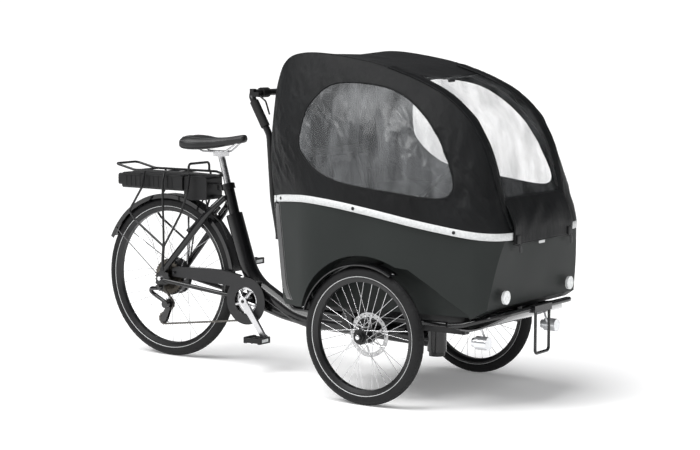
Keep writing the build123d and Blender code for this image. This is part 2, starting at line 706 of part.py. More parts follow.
def hood_parts():
    inside = hood_body(3) & block((742, -500, 500), (1703.5, 500, 1300))
    tub_space = cabin_plan(-1, 500, 800) & cabin_side(-1, 1)
    shell = hood_body(0) - inside - tub_space
    cutters = [side_window(), mirror_y(side_window()), front_window()]
    cover = shell
    panes = []
    for cutter in cutters:
        cover = cover - cutter
        pane = shell & cutter
        panes += list(pane.solids())
    return cover, panes


def hood_hoops():
    """The rear spring-steel hoop, the ridge bars that hold the cloth up and their cross bars."""
    made = bent_tube([(812, 322, 735), (812, 256, 1222), (812, -256, 1222), (812, -322, 735)], 5, [60, 60])
    for x, z in ((980, 1223), (1180, 1189)):
        made += rod((x, -228, z), (x, 228, z), 4)
    for side in (-1, 1):
        y = side * 228
        made += bent_tube([(812, y, 1222), (980, y, 1224), (1180, y, 1190), (1440, y, 1090),
                           (1585, y, 930), (1640, y, 760)], 4, [300, 300, 300, 300])
    return made


# ---------------------------------------------------------------- front wheels
def front_wheel(side):
    y = side * FRONT_TRACK_HALF
    centre = Vector(FRONT_HUB_X, y, FRONT_R)
    tyre_solid = tyre(centre, FRONT_R)
    rim_solid = rim(centre, FRONT_R, 18)
    flanges = (side * 369, side * 410)
    wires = spokes(centre, 24, flanges, FRONT_R - TYRE_SECTION_R - 32, 36, 62)
    outline = [(10 + RUNNING_GAP, 357), (22, 357), (22, 366), (28, 366), (28, 372), (19, 373), (19, 406),
               (28, 407), (28, 413), (20, 413), (18, 424), (10 + RUNNING_GAP, 424)]
    hub = ring_profile(centre, [(r, side * v) for r, v in outline])
    hub += disc(centre, 13, *sorted((side * 424.5, side * HALF_WIDTH)))
    hub += sleeve((centre.X, side * 423, centre.Z), (centre.X, side * 426, centre.Z), 13, 10 + RUNNING_GAP)
    rotor = disc(centre, 80, *sorted((side * 353, side * 355))) - disc(centre, 64, side * 340, side * 370)
    rotor += disc(centre, 30, *sorted((side * 353, side * 357))) - disc(centre, 14, side * 340, side * 370)
    for index in range(6):
        inner = polar(centre, 24, 60 * index, side * 354)
        outer = polar(centre, 66, 60 * index + 28, side * 354)
        rotor += rod(inner, outer, 2.2) & disc(centre, 90, *sorted((side * 353, side * 355)))
    holes = Part()
    for index in range(24):
        spot = polar(centre, 72 + 3 * (index % 2) - 1.5, 15 * index, 0)
        holes += rod((spot[0], side * 350, spot[2]), (spot[0], side * 358, spot[2]), 2.4)
    rotor -= holes
    rotor -= disc(centre, 10 + RUNNING_GAP + 3, *sorted((side * 340, side * 370)))
    return tyre_solid, rim_solid, wires, hub, rotor


def brake_calipers():
    """Caliper over the back of each disc, bolted to the axle beam."""
    made = []
    for side in (-1, 1):
        body = block((1095, min(side * 336, side * 362), 262), (1135, max(side * 336, side * 362), 318))
        slot = block((1060, min(side * 352, side * 356), 230), (1140, max(side * 352, side * 356), 330))
        clear_hub = disc(Vector(FRONT_HUB_X, 0, FRONT_R), 60, *sorted((side * 300, side * 400)))
        bridge = block((1093, min(side * 336, side * 362), 262), (1104, max(side * 336, side * 362), 318))
        rotor_space = disc(Vector(FRONT_HUB_X, 0, FRONT_R), 83, *sorted((side * 352, side * 356)))
        bracket = block((1110, min(side * 326, side * 336), FRONT_R - 12),
                        (1188, max(side * 326, side * 336), FRONT_R + 30))
        made.append(body + bridge + bracket - rotor_space - (slot & clear_hub))
    return made


def frame_cables():
    """Motor and brake cables from the controller down the seat tube and to the dropout."""
    loop = bent_tube([(230, 24, 664), (262, 30, 640), (278, 32, 600)], 3, [30])
    drop = bent_tube([(200, -26, 649), (214, -34, 615), (250, -36, 588), (282, -30, 560), (310, -26, 500)],
                     3, [30, 40, 60])
    motor = bent_tube([(118, 56, 640), (60, 84, 560), (30, 92, 440), (12, 92, 352)], 3.5, [90, 120])
    return [loop, drop, motor]


# ---------------------------------------------------------------- write every node
save("main_frame", main_frame())
stay, stud, tab = seat_stays()
left_stay = stay + stud + tab
save("seat_stays", left_stay, mirror_y(left_stay))
save("chain_stays", *chain_stays())
save("rear_mudguard", *rear_mudguard())
save("rear_rack", rear_rack())
save("controller_box", controller_box())
save("battery", battery())
save("chain_case", chain_case())
save("chain", *chain_loop())
save("derailleur", derailleur())
save("cassette", cassette())
save("rear_axle", rear_axle())
save("rear_hub_motor", rear_hub_motor())
save("rear_tyre", tyre(REAR_HUB, REAR_R))
save("rear_rim", rim(REAR_HUB, REAR_R, 18))
save("rear_spokes", *spokes(REAR_HUB, 71, (-12, 36), REAR_R - TYRE_SECTION_R - 32, 36, 26))
save("brake_arm_right", brake_arm(-1))
save("brake_arm_left", brake_arm(1))
save("seatpost", seatpost())
save("saddle", saddle())
save("seat_clamp", seat_clamp())
save("seat_clamp_lever", seat_clamp_lever())
save("chainring", chainring())
save("crank_right", crank_arm(-1))
save("crank_left", crank_arm(1))
save("pedal_right", pedal(-1))
save("pedal_left", pedal(1))
save("jockey_upper", toothed(JOCKEY_UPPER, JOCKEY_TEETH, CHAIN_Y - 1, CHAIN_Y + 1, 3 + RUNNING_GAP))
save("jockey_lower", toothed(JOCKEY_LOWER, JOCKEY_TEETH, CHAIN_Y - 1, CHAIN_Y + 1, 3 + RUNNING_GAP))
save("frame_cables", *frame_cables())

save("cabin_shell", cabin_shell())
save("cabin_edge_tube", *cabin_edge_tube())
save("bench_seat", *bench_seat())
save("seat_cushions", *seat_cushions())
save("chassis", chassis())
save("bumper_rail", bumper_rail())
save("chin_tray", chin_tray())
save("headlamps", *headlamps())
save("reflectors", *reflectors())
save("front_mudguards", *both_sides(front_mudguard()))
save("handlebar", handlebar())
save("grips", *grips())
save("lever_perches", *lever_perches())
save("brake_lever_right", brake_lever(-1))
save("brake_lever_left", brake_lever(1))
save("shifter", shifter())
save("brake_calipers", *brake_calipers())

for name, side in (("right", -1), ("left", 1)):
    tyre_solid, rim_solid, wires, hub, rotor = front_wheel(side)
    save("front_tyre_" + name, tyre_solid)
    save("front_rim_" + name, rim_solid)
    save("front_spokes_" + name, *wires)
    save("front_hub_" + name, hub)
    save("front_rotor_" + name, rotor)

hood_cover, hood_panes = hood_parts()
save("hood_cover", hood_cover)
save("hood_windows", *hood_panes)
save("hood_hoops", hood_hoops())
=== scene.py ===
import bpy
import bmesh
import json
import math
from mathutils import Matrix, Vector, noise
from mathutils.bvhtree import BVHTree


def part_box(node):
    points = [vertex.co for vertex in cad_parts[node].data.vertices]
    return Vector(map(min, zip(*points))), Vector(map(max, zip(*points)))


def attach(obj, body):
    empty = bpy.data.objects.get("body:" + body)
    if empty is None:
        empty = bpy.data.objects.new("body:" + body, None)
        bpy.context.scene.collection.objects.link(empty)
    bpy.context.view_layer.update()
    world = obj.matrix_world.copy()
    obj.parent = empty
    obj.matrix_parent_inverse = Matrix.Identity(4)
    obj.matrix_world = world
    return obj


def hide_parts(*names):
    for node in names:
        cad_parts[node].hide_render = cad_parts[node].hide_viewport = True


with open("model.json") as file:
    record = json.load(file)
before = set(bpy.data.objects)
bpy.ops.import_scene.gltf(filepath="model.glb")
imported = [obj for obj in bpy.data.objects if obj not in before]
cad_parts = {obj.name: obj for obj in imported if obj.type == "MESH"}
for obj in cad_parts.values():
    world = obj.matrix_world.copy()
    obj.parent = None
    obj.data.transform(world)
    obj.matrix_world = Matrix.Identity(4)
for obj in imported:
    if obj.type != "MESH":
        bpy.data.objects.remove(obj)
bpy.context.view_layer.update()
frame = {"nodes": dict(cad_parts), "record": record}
nodes = frame["nodes"]
SIDES = {-1: "right", 1: "left"}


# ---------------------------------------------------------------- places, from the frame
def middle(node):
    low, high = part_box(node)
    return (Vector(low) + Vector(high)) / 2


REAR = middle("rear_tyre")
FRONT = {tag: middle("front_tyre_" + tag) for tag in SIDES.values()}
BACK = REAR.x
# The bottom bracket and the rear axle, from the rear axle's line and the floor.
BRACKET_X = 0.420
BRACKET_Z = 0.265
AXLE_Z = 0.3235


def at(x, y, z):
    """A point given from the rear axle's line, in metres."""
    return Vector((BACK + x, y, z))


# ---------------------------------------------------------------- materials
MATS = {}


class Surface:
    """A material, with short ways to add the nodes of its colour, roughness and relief."""

    def __init__(self, name):
        mat = bpy.data.materials.new(name)
        mat.use_nodes = True
        self.nodes = mat.node_tree.nodes
        self.link = mat.node_tree.links.new
        self.sockets = self.nodes["Principled BSDF"].inputs
        MATS[name] = mat

    def constants(self, values):
        for socket, value in values.items():
            self.sockets[socket].default_value = value

    def coords(self):
        return self.nodes.new("ShaderNodeTexCoord").outputs["Object"]

    def pattern(self, coords, scale, detail=4.0, stretch=(1, 1, 1)):
        mapping = self.nodes.new("ShaderNodeMapping")
        mapping.inputs["Scale"].default_value = stretch
        self.link(coords, mapping.inputs["Vector"])
        tex = self.nodes.new("ShaderNodeTexNoise")
        tex.inputs["Scale"].default_value = scale
        tex.inputs["Detail"].default_value = detail
        self.link(mapping.outputs["Vector"], tex.inputs["Vector"])
        return tex.outputs["Fac"]

    def ramp(self, source, low, high, start=0.3, end=0.7):
        made = self.nodes.new("ShaderNodeMapRange")
        made.inputs["From Min"].default_value = start
        made.inputs["From Max"].default_value = end
        made.inputs["To Min"].default_value = low
        made.inputs["To Max"].default_value = high
        self.link(source, made.inputs["Value"])
        return made.outputs["Result"]

    def mottle(self, pattern, dark, light, rough):
        """Colour and roughness that both follow one pattern."""
        mix = self.nodes.new("ShaderNodeMix")
        mix.data_type = "RGBA"
        mix.inputs["A"].default_value = (*dark, 1)
        mix.inputs["B"].default_value = (*light, 1)
        self.link(self.ramp(pattern, 0, 1), mix.inputs["Factor"])
        self.link(mix.outputs["Result"], self.sockets["Base Color"])
        self.link(self.ramp(pattern, *rough), self.sockets["Roughness"])

    def relief(self, height, strength, distance, before=None):
        made = self.nodes.new("ShaderNodeBump")
        made.inputs["Strength"].default_value = strength
        made.inputs["Distance"].default_value = distance
        self.link(height, made.inputs["Height"])
        if before is not None:
            self.link(before, made.inputs["Normal"])
        return made.outputs["Normal"]

    def calculate(self, operation, *operands):
        made = self.nodes.new("ShaderNodeMath")
        made.operation = operation
        for socket, operand in zip(made.inputs, operands):
            if isinstance(operand, float):
                socket.default_value = operand
            else:
                self.link(operand, socket)
        return made.outputs[0]


def finish_of(name, dark, light, rough, metallic=0.0, coat=0.0, patches=9.0, grain=900.0,
              grain_depth=0.0002, grain_strength=0.25, specular=0.5):
    """A general surface: mottled colour, uneven roughness and a fine grain in relief."""
    made = Surface(name)
    coords = made.coords()
    made.mottle(made.pattern(coords, patches, 5.0), dark, light, rough)
    fine = made.pattern(coords, grain, 3.0)
    made.link(made.relief(fine, grain_strength, grain_depth), made.sockets["Normal"])
    made.constants({"Metallic": metallic, "Coat Weight": coat, "Coat Roughness": 0.06,
                    "Specular IOR Level": specular})


def woven(name, dark, light, rough, pitch, depth, sheen=0.25):
    """Cloth: two crossed sets of threads in relief, with cloudy colour."""
    made = Surface(name)
    coords = made.coords()
    threads = []
    for direction in ((1, 0.35, 0.0), (0.0, 0.35, 1)):
        along = made.nodes.new("ShaderNodeVectorMath")
        along.operation = "DOT_PRODUCT"
        along.inputs[1].default_value = direction
        made.link(coords, along.inputs[0])
        phase = made.calculate("MULTIPLY", along.outputs["Value"], 2 * math.pi / pitch)
        threads.append(made.calculate("SINE", phase))
    made.mottle(made.pattern(coords, 6.0, 6.0), dark, light, rough)
    creases = made.relief(made.pattern(coords, 22.0, 4.0, (1, 1, 0.45)), 0.6, 0.006)
    weave = made.calculate("MULTIPLY", *threads)
    made.link(made.relief(weave, 0.4, depth, creases), made.sockets["Normal"])
    made.constants({"Specular IOR Level": 0.15, "Sheen Weight": sheen, "Sheen Roughness": 0.45})


def clear_sheet(name, thin, milky):
    """Clear vinyl: mostly open, with a faint milky tone, streaks and soft ripples."""
    made = Surface(name)
    coords = made.coords()
    ripple = made.pattern(coords, 7.0, 2.0, (1, 1, 0.4))
    made.link(made.ramp(ripple, 0.2, 0.32), made.sockets["Roughness"])
    made.link(made.relief(ripple, 0.3, 0.005), made.sockets["Normal"])
    streaks = made.pattern(coords, 16.0, 4.0, (1, 1, 0.22))
    made.link(made.ramp(streaks, thin, milky, 0.38, 0.72), made.sockets["Alpha"])
    made.constants({"Base Color": (0.30, 0.31, 0.32, 1), "Specular IOR Level": 0.6})


finish_of("gloss_black_frame", (0.003, 0.003, 0.0035), (0.006, 0.006, 0.0065), (0.18, 0.28), coat=0.25,
          grain=260, grain_depth=0.0001, specular=0.35)
finish_of("black_tube", (0.004, 0.004, 0.0045), (0.009, 0.009, 0.0095), (0.3, 0.42), coat=0.1, grain=500,
          grain_depth=0.0001, specular=0.35)
finish_of("black_plastic", (0.005, 0.005, 0.0055), (0.012, 0.012, 0.0125), (0.42, 0.58), grain=1400,
          specular=0.3)
finish_of("gloss_plastic", (0.003, 0.003, 0.0035), (0.006, 0.006, 0.0065), (0.12, 0.22), coat=0.5,
          grain=200, grain_depth=0.0001, specular=0.4)
finish_of("grey_plastic", (0.012, 0.012, 0.013), (0.02, 0.02, 0.021), (0.35, 0.5), grain=1100,
          specular=0.35)
finish_of("cabin_plastic", (0.0125, 0.0150, 0.0142), (0.017, 0.0202, 0.0190), (0.46, 0.6), patches=3.0,
          grain=1300, grain_depth=0.0003, grain_strength=0.35, specular=0.22)
finish_of("chain_steel", (0.08, 0.075, 0.07), (0.2, 0.19, 0.175), (0.28, 0.45), 1.0, patches=60)
finish_of("brown_steel", (0.06, 0.055, 0.048), (0.15, 0.135, 0.115), (0.32, 0.48), 1.0, patches=40)
finish_of("silver", (0.5, 0.5, 0.51), (0.68, 0.68, 0.69), (0.2, 0.34), 1.0, patches=30, grain=700,
          grain_depth=0.00008)
finish_of("chrome", (0.6, 0.6, 0.61), (0.78, 0.78, 0.79), (0.08, 0.16), 1.0, patches=40)
finish_of("rotor_steel", (0.36, 0.36, 0.37), (0.54, 0.54, 0.54), (0.22, 0.36), 1.0, patches=70, grain=1500)
finish_of("tyre_rubber", (0.006, 0.006, 0.0065), (0.014, 0.014, 0.0145), (0.55, 0.75), patches=18,
          grain=700, grain_depth=0.0004, specular=0.22)
finish_of("rubber", (0.006, 0.006, 0.006), (0.013, 0.013, 0.013), (0.5, 0.7), grain=800, specular=0.3)
finish_of("saddle_cover", (0.006, 0.006, 0.0065), (0.014, 0.014, 0.015), (0.36, 0.52), grain=420,
          grain_depth=0.0006, grain_strength=0.4, specular=0.4)
woven("hood_fabric", (0.003, 0.0032, 0.0036), (0.0055, 0.006, 0.0066), (0.36, 0.52), 0.0016, 0.0003, 0.0)
woven("cushion_fabric", (0.010, 0.010, 0.011), (0.02, 0.02, 0.022), (0.7, 0.85), 0.002, 0.0003, 0.08)
clear_sheet("clear_vinyl", 0.08, 0.26)
clear_sheet("front_vinyl", 0.02, 0.11)
finish_of("lamp", (0.62, 0.63, 0.65), (0.8, 0.81, 0.83), (0.1, 0.2), 0.6, coat=1.0)
finish_of("white_reflector", (0.68, 0.70, 0.70), (0.82, 0.84, 0.84), (0.2, 0.35), coat=0.8, patches=90)
finish_of("reflective_band", (0.50, 0.51, 0.51), (0.62, 0.63, 0.63), (0.3, 0.45), patches=120, grain=1600)
woven("webbing", (0.010, 0.010, 0.011), (0.018, 0.018, 0.019), (0.6, 0.75), 0.0022, 0.0008)
finish_of("thread", (0.22, 0.22, 0.23), (0.34, 0.34, 0.35), (0.5, 0.7), patches=300)
woven("roof_fabric", (0.006, 0.0064, 0.0068), (0.011, 0.0115, 0.012), (0.4, 0.55), 0.0016, 0.0003, 0.0)
# Chin tray: the gloss coat is real, but its grey base colour, lighter than the other black plastics, is a
# painted reflection.
finish_of("glossy_tray_painted_reflection", (0.035, 0.035, 0.036), (0.06, 0.06, 0.062), (0.16, 0.26), coat=0.9, grain=300,
          specular=0.5)
# Grey for the line along the groove beside the tub's rear corner trim: a painted highlight.
finish_of("groove_painted_highlight", (0.12, 0.12, 0.12), (0.2, 0.2, 0.2), (0.4, 0.55), patches=60)

node_slots = {part["node"]: part["material_slot"] for part in frame["record"]["subparts"]}
for node_name, obj in nodes.items():
    obj.data.materials.clear()
    obj.data.materials.append(MATS[node_slots[node_name]])

# The chin tray gets the glossy grey whose lightness is a painted reflection.
nodes["chin_tray"].data.materials[0] = MATS["glossy_tray_painted_reflection"]
soften = nodes["cabin_shell"].modifiers.new("soften", "BEVEL")
soften.width = 0.004
soften.segments = 2
soften.limit_method = "ANGLE"
soften.angle_limit = math.radians(28)


# ---------------------------------------------------------------- mesh helpers
def shade_smooth(obj):
    for poly in obj.data.polygons:
        poly.use_smooth = True


def mesh_object(name, points, faces, mat, smooth=True):
    mesh = bpy.data.meshes.new(name)
    mesh.from_pydata([tuple(p) for p in points], [], faces)
    mesh.validate()
    mesh.update()
    obj = bpy.data.objects.new(name, mesh)
    bpy.context.collection.objects.link(obj)
    mesh.materials.append(MATS[mat])
    if smooth:
        shade_smooth(obj)
    return obj


def grid_object(name, rows, mat, close_rows=False, close_columns=False):
    """A sheet of quads from rows of points."""
    height = len(rows)
    width = len(rows[0])
    points = [p for row in rows for p in row]
    faces = []
    for i in range(height if close_rows else height - 1):
        for j in range(width if close_columns else width - 1):
            a = i * width + j
            b = i * width + (j + 1) % width
            c = ((i + 1) % height) * width + (j + 1) % width
            d = ((i + 1) % height) * width + j
            faces.append((a, b, c, d))
    return mesh_object(name, points, faces, mat)


def apply_modifier(obj, kind, **settings):
    made = obj.modifiers.new(kind.lower(), kind)
    for key, value in settings.items():
        setattr(made, key, value)
    bpy.context.view_layer.update()
    graph = bpy.context.evaluated_depsgraph_get()
    mesh = bpy.data.meshes.new_from_object(obj.evaluated_get(graph), depsgraph=graph)
    obj.modifiers.clear()
    obj.data = mesh


def thicken(obj, thickness, offset=0):
    """Give a sheet its thickness; an offset of -1 puts all of it behind the surface."""
    apply_modifier(obj, "SOLIDIFY", thickness=thickness, offset=offset)


def face_outward(obj, close_ends=False):
    """Turn a closed form's faces outward, closing its open ends first if asked."""
    bm = bmesh.new()
    bm.from_mesh(obj.data)
    if close_ends:
        bmesh.ops.holes_fill(bm, edges=[e for e in bm.edges if e.is_boundary])
    bmesh.ops.recalc_face_normals(bm, faces=bm.faces)
    bm.to_mesh(obj.data)
    bm.free()


def tube(name, points, radius, mat, closed=False):
    """A round cord or pipe along a smooth curve."""
    curve = bpy.data.curves.new(name, "CURVE")
    curve.dimensions = "3D"
    spline = curve.splines.new("NURBS")
    spline.points.add(len(points) - 1)
    for spot, point in zip(spline.points, points):
        spot.co = (*point, 1)
    spline.order_u = 3
    spline.use_endpoint_u = not closed
    spline.use_cyclic_u = closed
    curve.bevel_depth = radius
    curve.bevel_resolution = 2
    curve.use_fill_caps = True
    obj = bpy.data.objects.new(name, curve)
    bpy.context.collection.objects.link(obj)
    bpy.context.view_layer.update()
    mesh = bpy.data.meshes.new_from_object(obj.evaluated_get(bpy.context.evaluated_depsgraph_get()))
    bpy.data.objects.remove(obj)
    solid = bpy.data.objects.new(name, mesh)
    bpy.context.collection.objects.link(solid)
    mesh.materials.clear()
    mesh.materials.append(MATS[mat])
    shade_smooth(solid)
    return solid


def smooth_path(points, count):
    """count points along a Catmull-Rom curve through the given ones, evenly spaced by length."""
    pts = [Vector(p) for p in points]
    pts = [pts[0] * 2 - pts[1]] + pts + [pts[-1] * 2 - pts[-2]]
    dense = []
    for i in range(1, len(pts) - 2):
        a, b, c, d = pts[i - 1:i + 3]
        for k in range(24):
            t = k / 24
            dense.append(0.5 * (2 * b + (c - a) * t + (2 * a - 5 * b + 4 * c - d) * t * t
                                + (3 * b - a - 3 * c + d) * t ** 3))
    dense.append(pts[-2])
    lengths = [0.0]
    for a, b in zip(dense, dense[1:]):
        lengths.append(lengths[-1] + (b - a).length)
    result = []
    k = 0
    for i in range(count):
        want = lengths[-1] * i / (count - 1)
        while k < len(lengths) - 2 and lengths[k + 1] < want:
            k += 1
        span = max(lengths[k + 1] - lengths[k], 1e-9)
        result.append(dense[k].lerp(dense[k + 1], (want - lengths[k]) / span))
    return result


def path_at(path, share):
    """The point at a share from 0 to 1 of an evenly spaced path."""
    spot = min(max(share, 0), 1) * (len(path) - 1)
    low = min(int(spot), len(path) - 2)
    return path[low].lerp(path[low + 1], spot - low)


def flipped(points):
    return [Vector((p[0], -p[1], p[2])) for p in points]


def mirrored(rows, side):
    """Rows of a right-hand sheet kept, or turned round so that the left one faces out too."""
    return rows if side < 0 else [list(reversed(row)) for row in rows]


def place(obj, body):
    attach(obj, body)


def cast_in(tree, x, z, side, start=0.7):
    """Where a ray that comes in from one side meets the surface, with its normal."""
    return tree.ray_cast(Vector((x, side * start, z)), Vector((0, -side, 0)))[:2]


def surface_tree(obj):
    return BVHTree.FromPolygons([v.co for v in obj.data.vertices], [p.vertices for p in obj.data.polygons])


def turn_outward(obj, centre_of):
    """Flip the faces if most of them look towards centre_of(point)."""
    score = sum((poly.center - centre_of(poly.center)).normalized().dot(poly.normal)
                for poly in obj.data.polygons)
    if score < 0:
        obj.data.flip_normals()


def lathe(name, centre, profile, steps, mat):
    """Turn (radius, y) points about a wheel's axle line."""
    rows = []
    for i in range(steps):
        angle = 2 * math.pi * i / steps
        rows.append([Vector((centre.x + r * math.sin(angle), centre.y + y, centre.z + r * math.cos(angle)))
                     for r, y in profile])
    return grid_object(name, rows, mat, close_rows=True, close_columns=True)


# ---------------------------------------------------------------- tyres
TYRE_R = 0.0225
TYRE_AROUND = 36
TREAD_STEP = 0.0036
TREAD_BLOCK = 8
TREAD_DEPTH = 0.0019
RAIN_GROOVE = 0.0017
BEAD_ANGLE = math.radians(128)
TREAD_ANGLE = math.radians(52)
RING_INSET = 0.0348


def build_tyre(name, centre, outer_r, body, node):
    """Tyre with a shallow zigzag tread, bead edges and a reflective ring on each sidewall."""
    crown_r = outer_r - TYRE_R
    steps = int(round(2 * math.pi * outer_r / TREAD_STEP / TREAD_BLOCK)) * TREAD_BLOCK
    rows = []
    for i in range(steps):
        angle = 2 * math.pi * i / steps
        row = []
        for j in range(TYRE_AROUND + 1):
            phi = -BEAD_ANGLE + 2 * BEAD_ANGLE * j / TYRE_AROUND
            low = 0.0006
            if abs(phi) < TREAD_ANGLE:
                block = (i + (j % 4 < 2) * 3) % TREAD_BLOCK
                low = TREAD_DEPTH if block < 2 else 0.0
                if abs(j - TYRE_AROUND // 2) == 3:
                    low = RAIN_GROOVE
            r_here = TYRE_R - low
            radius = crown_r + r_here * math.cos(phi)
            row.append(Vector((centre.x + radius * math.sin(angle), centre.y + r_here * math.sin(phi),
                               centre.z + radius * math.cos(angle))))
        rows.append(row)
    skin = grid_object(name, rows, "tyre_rubber", close_rows=True)

    def core(p):
        spoke = Vector((p.x - centre.x, 0, p.z - centre.z)).normalized()
        return centre + spoke * crown_r

    turn_outward(skin, core)
    thicken(skin, 0.003, -1)
    place(skin, body)
    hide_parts(node)
    ring_phi = math.acos((RING_INSET - TYRE_R) / -TYRE_R)
    for side in SIDES:
        profile = []
        for step, lift in ((-0.055, 0), (-0.045, 0.0005), (0.045, 0.0005), (0.055, 0)):
            reach = TYRE_R - 0.0004 + lift
            turn = ring_phi + step
            profile.append((crown_r + reach * math.cos(turn), side * reach * math.sin(turn)))
        ring = lathe(name + "_ring_" + ("a" if side < 0 else "b"), centre, profile, 180, "reflective_band")
        place(ring, body)


build_tyre("rear_tyre_skin", REAR, REAR.z, "rear_wheel", "rear_tyre")
for name, hub in FRONT.items():
    build_tyre("front_tyre_skin_" + name, hub, FRONT["right"].z, "front_wheel_" + name, "front_tyre_" + name)


# ---------------------------------------------------------------- hood
# Points as (x from the rear axle, y of the left side, z), from the tub's rim up over the hoops.
ARCH = [(0.742, 0.272, 1.130), (0.772, 0.268, 1.205), (0.830, 0.264, 1.238), (0.950, 0.262, 1.241),
        (1.153, 0.262, 1.211), (1.285, 0.262, 1.174), (1.372, 0.260, 1.142), (1.457, 0.258, 1.100),
        (1.542, 0.254, 1.030), (1.584, 0.250, 0.972), (1.626, 0.245, 0.885), (1.654, 0.238, 0.785),
        (1.676, 0.228, 0.705), (1.700, 0.214, 0.640)]
BACK_EDGE = [(0.748, 0.300, 0.715), (0.728, 0.290, 0.820), (0.722, 0.284, 0.920), (0.730, 0.278, 1.040)]
RIM = [(0.748, 0.300, 0.715), (0.800, 0.330, 0.723), (0.880, 0.369, 0.730), (0.962, 0.396, 0.733),
       (1.100, 0.409, 0.722), (1.250, 0.409, 0.701), (1.400, 0.392, 0.674), (1.520, 0.371, 0.654),
       (1.610, 0.352, 0.641), (1.662, 0.322, 0.635), (1.694, 0.276, 0.632), (1.704, 0.214, 0.630)]
COLUMNS = 220
ROWS = 90
CLOTH = 0.0022
BINDING_R = 0.0032
ROOF_HEM_R = 0.0045
FLAP_HEM_R = 0.003
SEAM_R = 0.0022
WINDOW_OVERLAP = 0.012
STRIP = 0.002
VINYL = 0.0008
BAND_THICKNESS = 0.0012
HOOD_OUTSIDE = 0.6

outer_path = smooth_path([at(*p) for p in BACK_EDGE + ARCH], 2 * COLUMNS)
rim_path = smooth_path([at(*p) for p in RIM], 2 * COLUMNS)


def share_to_outer(share):
    """How far along the hood's upper edge the column that starts at this share of the rim ends."""
    return 0.14 * min(share / 0.06, 1) + 0.86 * max(share - 0.06, 0) / 0.94


def folds(point, low_share):
    """Depth of the loose folds: stronger near the rim and the front corner."""
    near_front = max(0.0, min(1.0, (point.x - at(1.25, 0, 0).x) / 0.35))
    near_back = max(0.0, min(1.0, (at(0.95, 0, 0).x - point.x) / 0.2))
    slant = Vector((point.x * 7 + point.z * 5, point.y * 3, point.z * 2.2 - point.x * 3))
    wide = noise.noise(slant * 1.6)
    fine = 1 - 2 * abs(noise.noise(slant * 3.6 + Vector((5, 1, 2))))
    tight = 1 - 2 * abs(noise.noise(slant * 8.5 + Vector((2, 7, 4))))
    strength = 0.45 + 1.1 * near_front * low_share + 0.4 * low_share + 0.35 * near_back
    return (0.0075 * wide + 0.0042 * fine + 0.0018 * tight) * strength


def side_point(share, up):
    """A point on the right-hand side sheet: up is 0 at the rim and 1 at the top edge."""
    low = path_at(rim_path, share)
    high = path_at(outer_path, share_to_outer(share))
    span = (high - low).length
    control = Vector((low.x * 0.45 + high.x * 0.55, low.y * 0.74 + high.y * 0.26,
                      low.z * 0.42 + high.z * 0.58))
    control.y += 0.03 * min(1, span / 0.4)
    point = low * (1 - up) ** 2 + control * 2 * up * (1 - up) + high * up ** 2
    edge = math.sin(math.pi * up) ** 0.7 if 0 < up < 1 else 0
    point.y += folds(point, 1 - up) * edge * min(1, span / 0.25)
    return Vector((point.x, -point.y, point.z))


def window_outline(grow=0.0):
    """The side window's rounded outline, in X and Z."""
    spots = [(0.938, 0.890), (0.920, 0.966), (0.946, 1.062), (1.039, 1.134), (1.253, 1.120), (1.400, 1.036),
             (1.500, 0.908), (1.536, 0.762), (1.316, 0.768), (1.060, 0.806)]
    centre = Vector((1.22, 0.95))
    wide = []
    for x, z in spots:
        ray = Vector((x, z)) - centre
        ray *= (ray.length + grow) / ray.length
        wide.append(Vector((BACK + centre.x + ray.x, 0, centre.y + ray.y)))
    loop = smooth_path(wide[-3:] + wide + wide[:3], 16 * 40)
    start = loop.index(min(loop[:300], key=lambda p: (p - wide[0]).length))
    finish = start + 1 + min(range(len(loop) - start - 1),
                             key=lambda k: (loop[start + 1 + k] - wide[0]).length if k > 200 else 9)
    step = (finish - start) / 96
    return [loop[int(start + k * step)] for k in range(96)]


def prism(name, outline, y_low, y_high):
    count = len(outline)
    points = [(p.x, y_low, p.z) for p in outline] + [(p.x, y_high, p.z) for p in outline]
    faces = [tuple(range(count)), tuple(reversed(range(count, 2 * count)))]
    faces += [(k, (k + 1) % count, count + (k + 1) % count, count + k) for k in range(count)]
    made = mesh_object(name, points, faces, "hood_fabric", smooth=False)
    face_outward(made)
    return made


def cut(obj, outline, side, operation):
    """Cut a hood sheet with an outline that runs through it from one side."""
    cutter = prism("cutter", outline, *sorted((side * 0.15, side * HOOD_OUTSIDE)))
    apply_modifier(obj, "BOOLEAN", object=cutter, operation=operation, solver="EXACT")
    bpy.data.objects.remove(cutter)


def hood_cord(name, points, radius, closed=False):
    """Piping, a seam or a hem on the hood."""
    place(tube(name, points, radius, "hood_fabric", closed), "hood")


def hood_sheet(name, rows, mat, thickness, offset=0, slot="hood_fabric", **declared):
    """A single sheet of the hood from rows of points, thickened and put on the hood; its flat size and what
    holds it are not used.
    """
    sheet = grid_object(name, rows, mat)
    thicken(sheet, thickness, offset)
    place(sheet, "hood")
    return sheet


def hood_side(side):
    """One side's fabric sheet, its clear window and the binding round the window."""
    name = SIDES[side]
    rows = [[side_point(i / COLUMNS, j / ROWS) for j in range(ROWS + 1)] for i in range(COLUMNS + 1)]
    if side > 0:
        rows = [flipped(row) for row in reversed(rows)]
    sheet = grid_object("hood_side_" + name, rows, "hood_fabric")
    tree = surface_tree(sheet)
    pane = sheet.copy()
    pane.data = sheet.data.copy()
    pane.name = "side_window_" + name
    bpy.context.collection.objects.link(pane)
    thicken(sheet, CLOTH)
    thicken(pane, VINYL)
    cut(sheet, window_outline(), side, "DIFFERENCE")
    cut(pane, window_outline(WINDOW_OVERLAP), side, "INTERSECT")
    pane.data.materials.clear()
    pane.data.materials.append(MATS["clear_vinyl"])
    shade_smooth(sheet)
    shade_smooth(pane)
    place(sheet, "hood")
    place(pane, "hood")
    loop = []
    for p in window_outline(0.004):
        hit = cast_in(tree, p.x, p.z, side, HOOD_OUTSIDE)[0]
        loop.append(hit if hit else p)
    hood_cord("window_binding_" + name, loop, BINDING_R, closed=True)
    return sheet


right_sheet = hood_side(-1)
hood_side(1)
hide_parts("hood_cover")


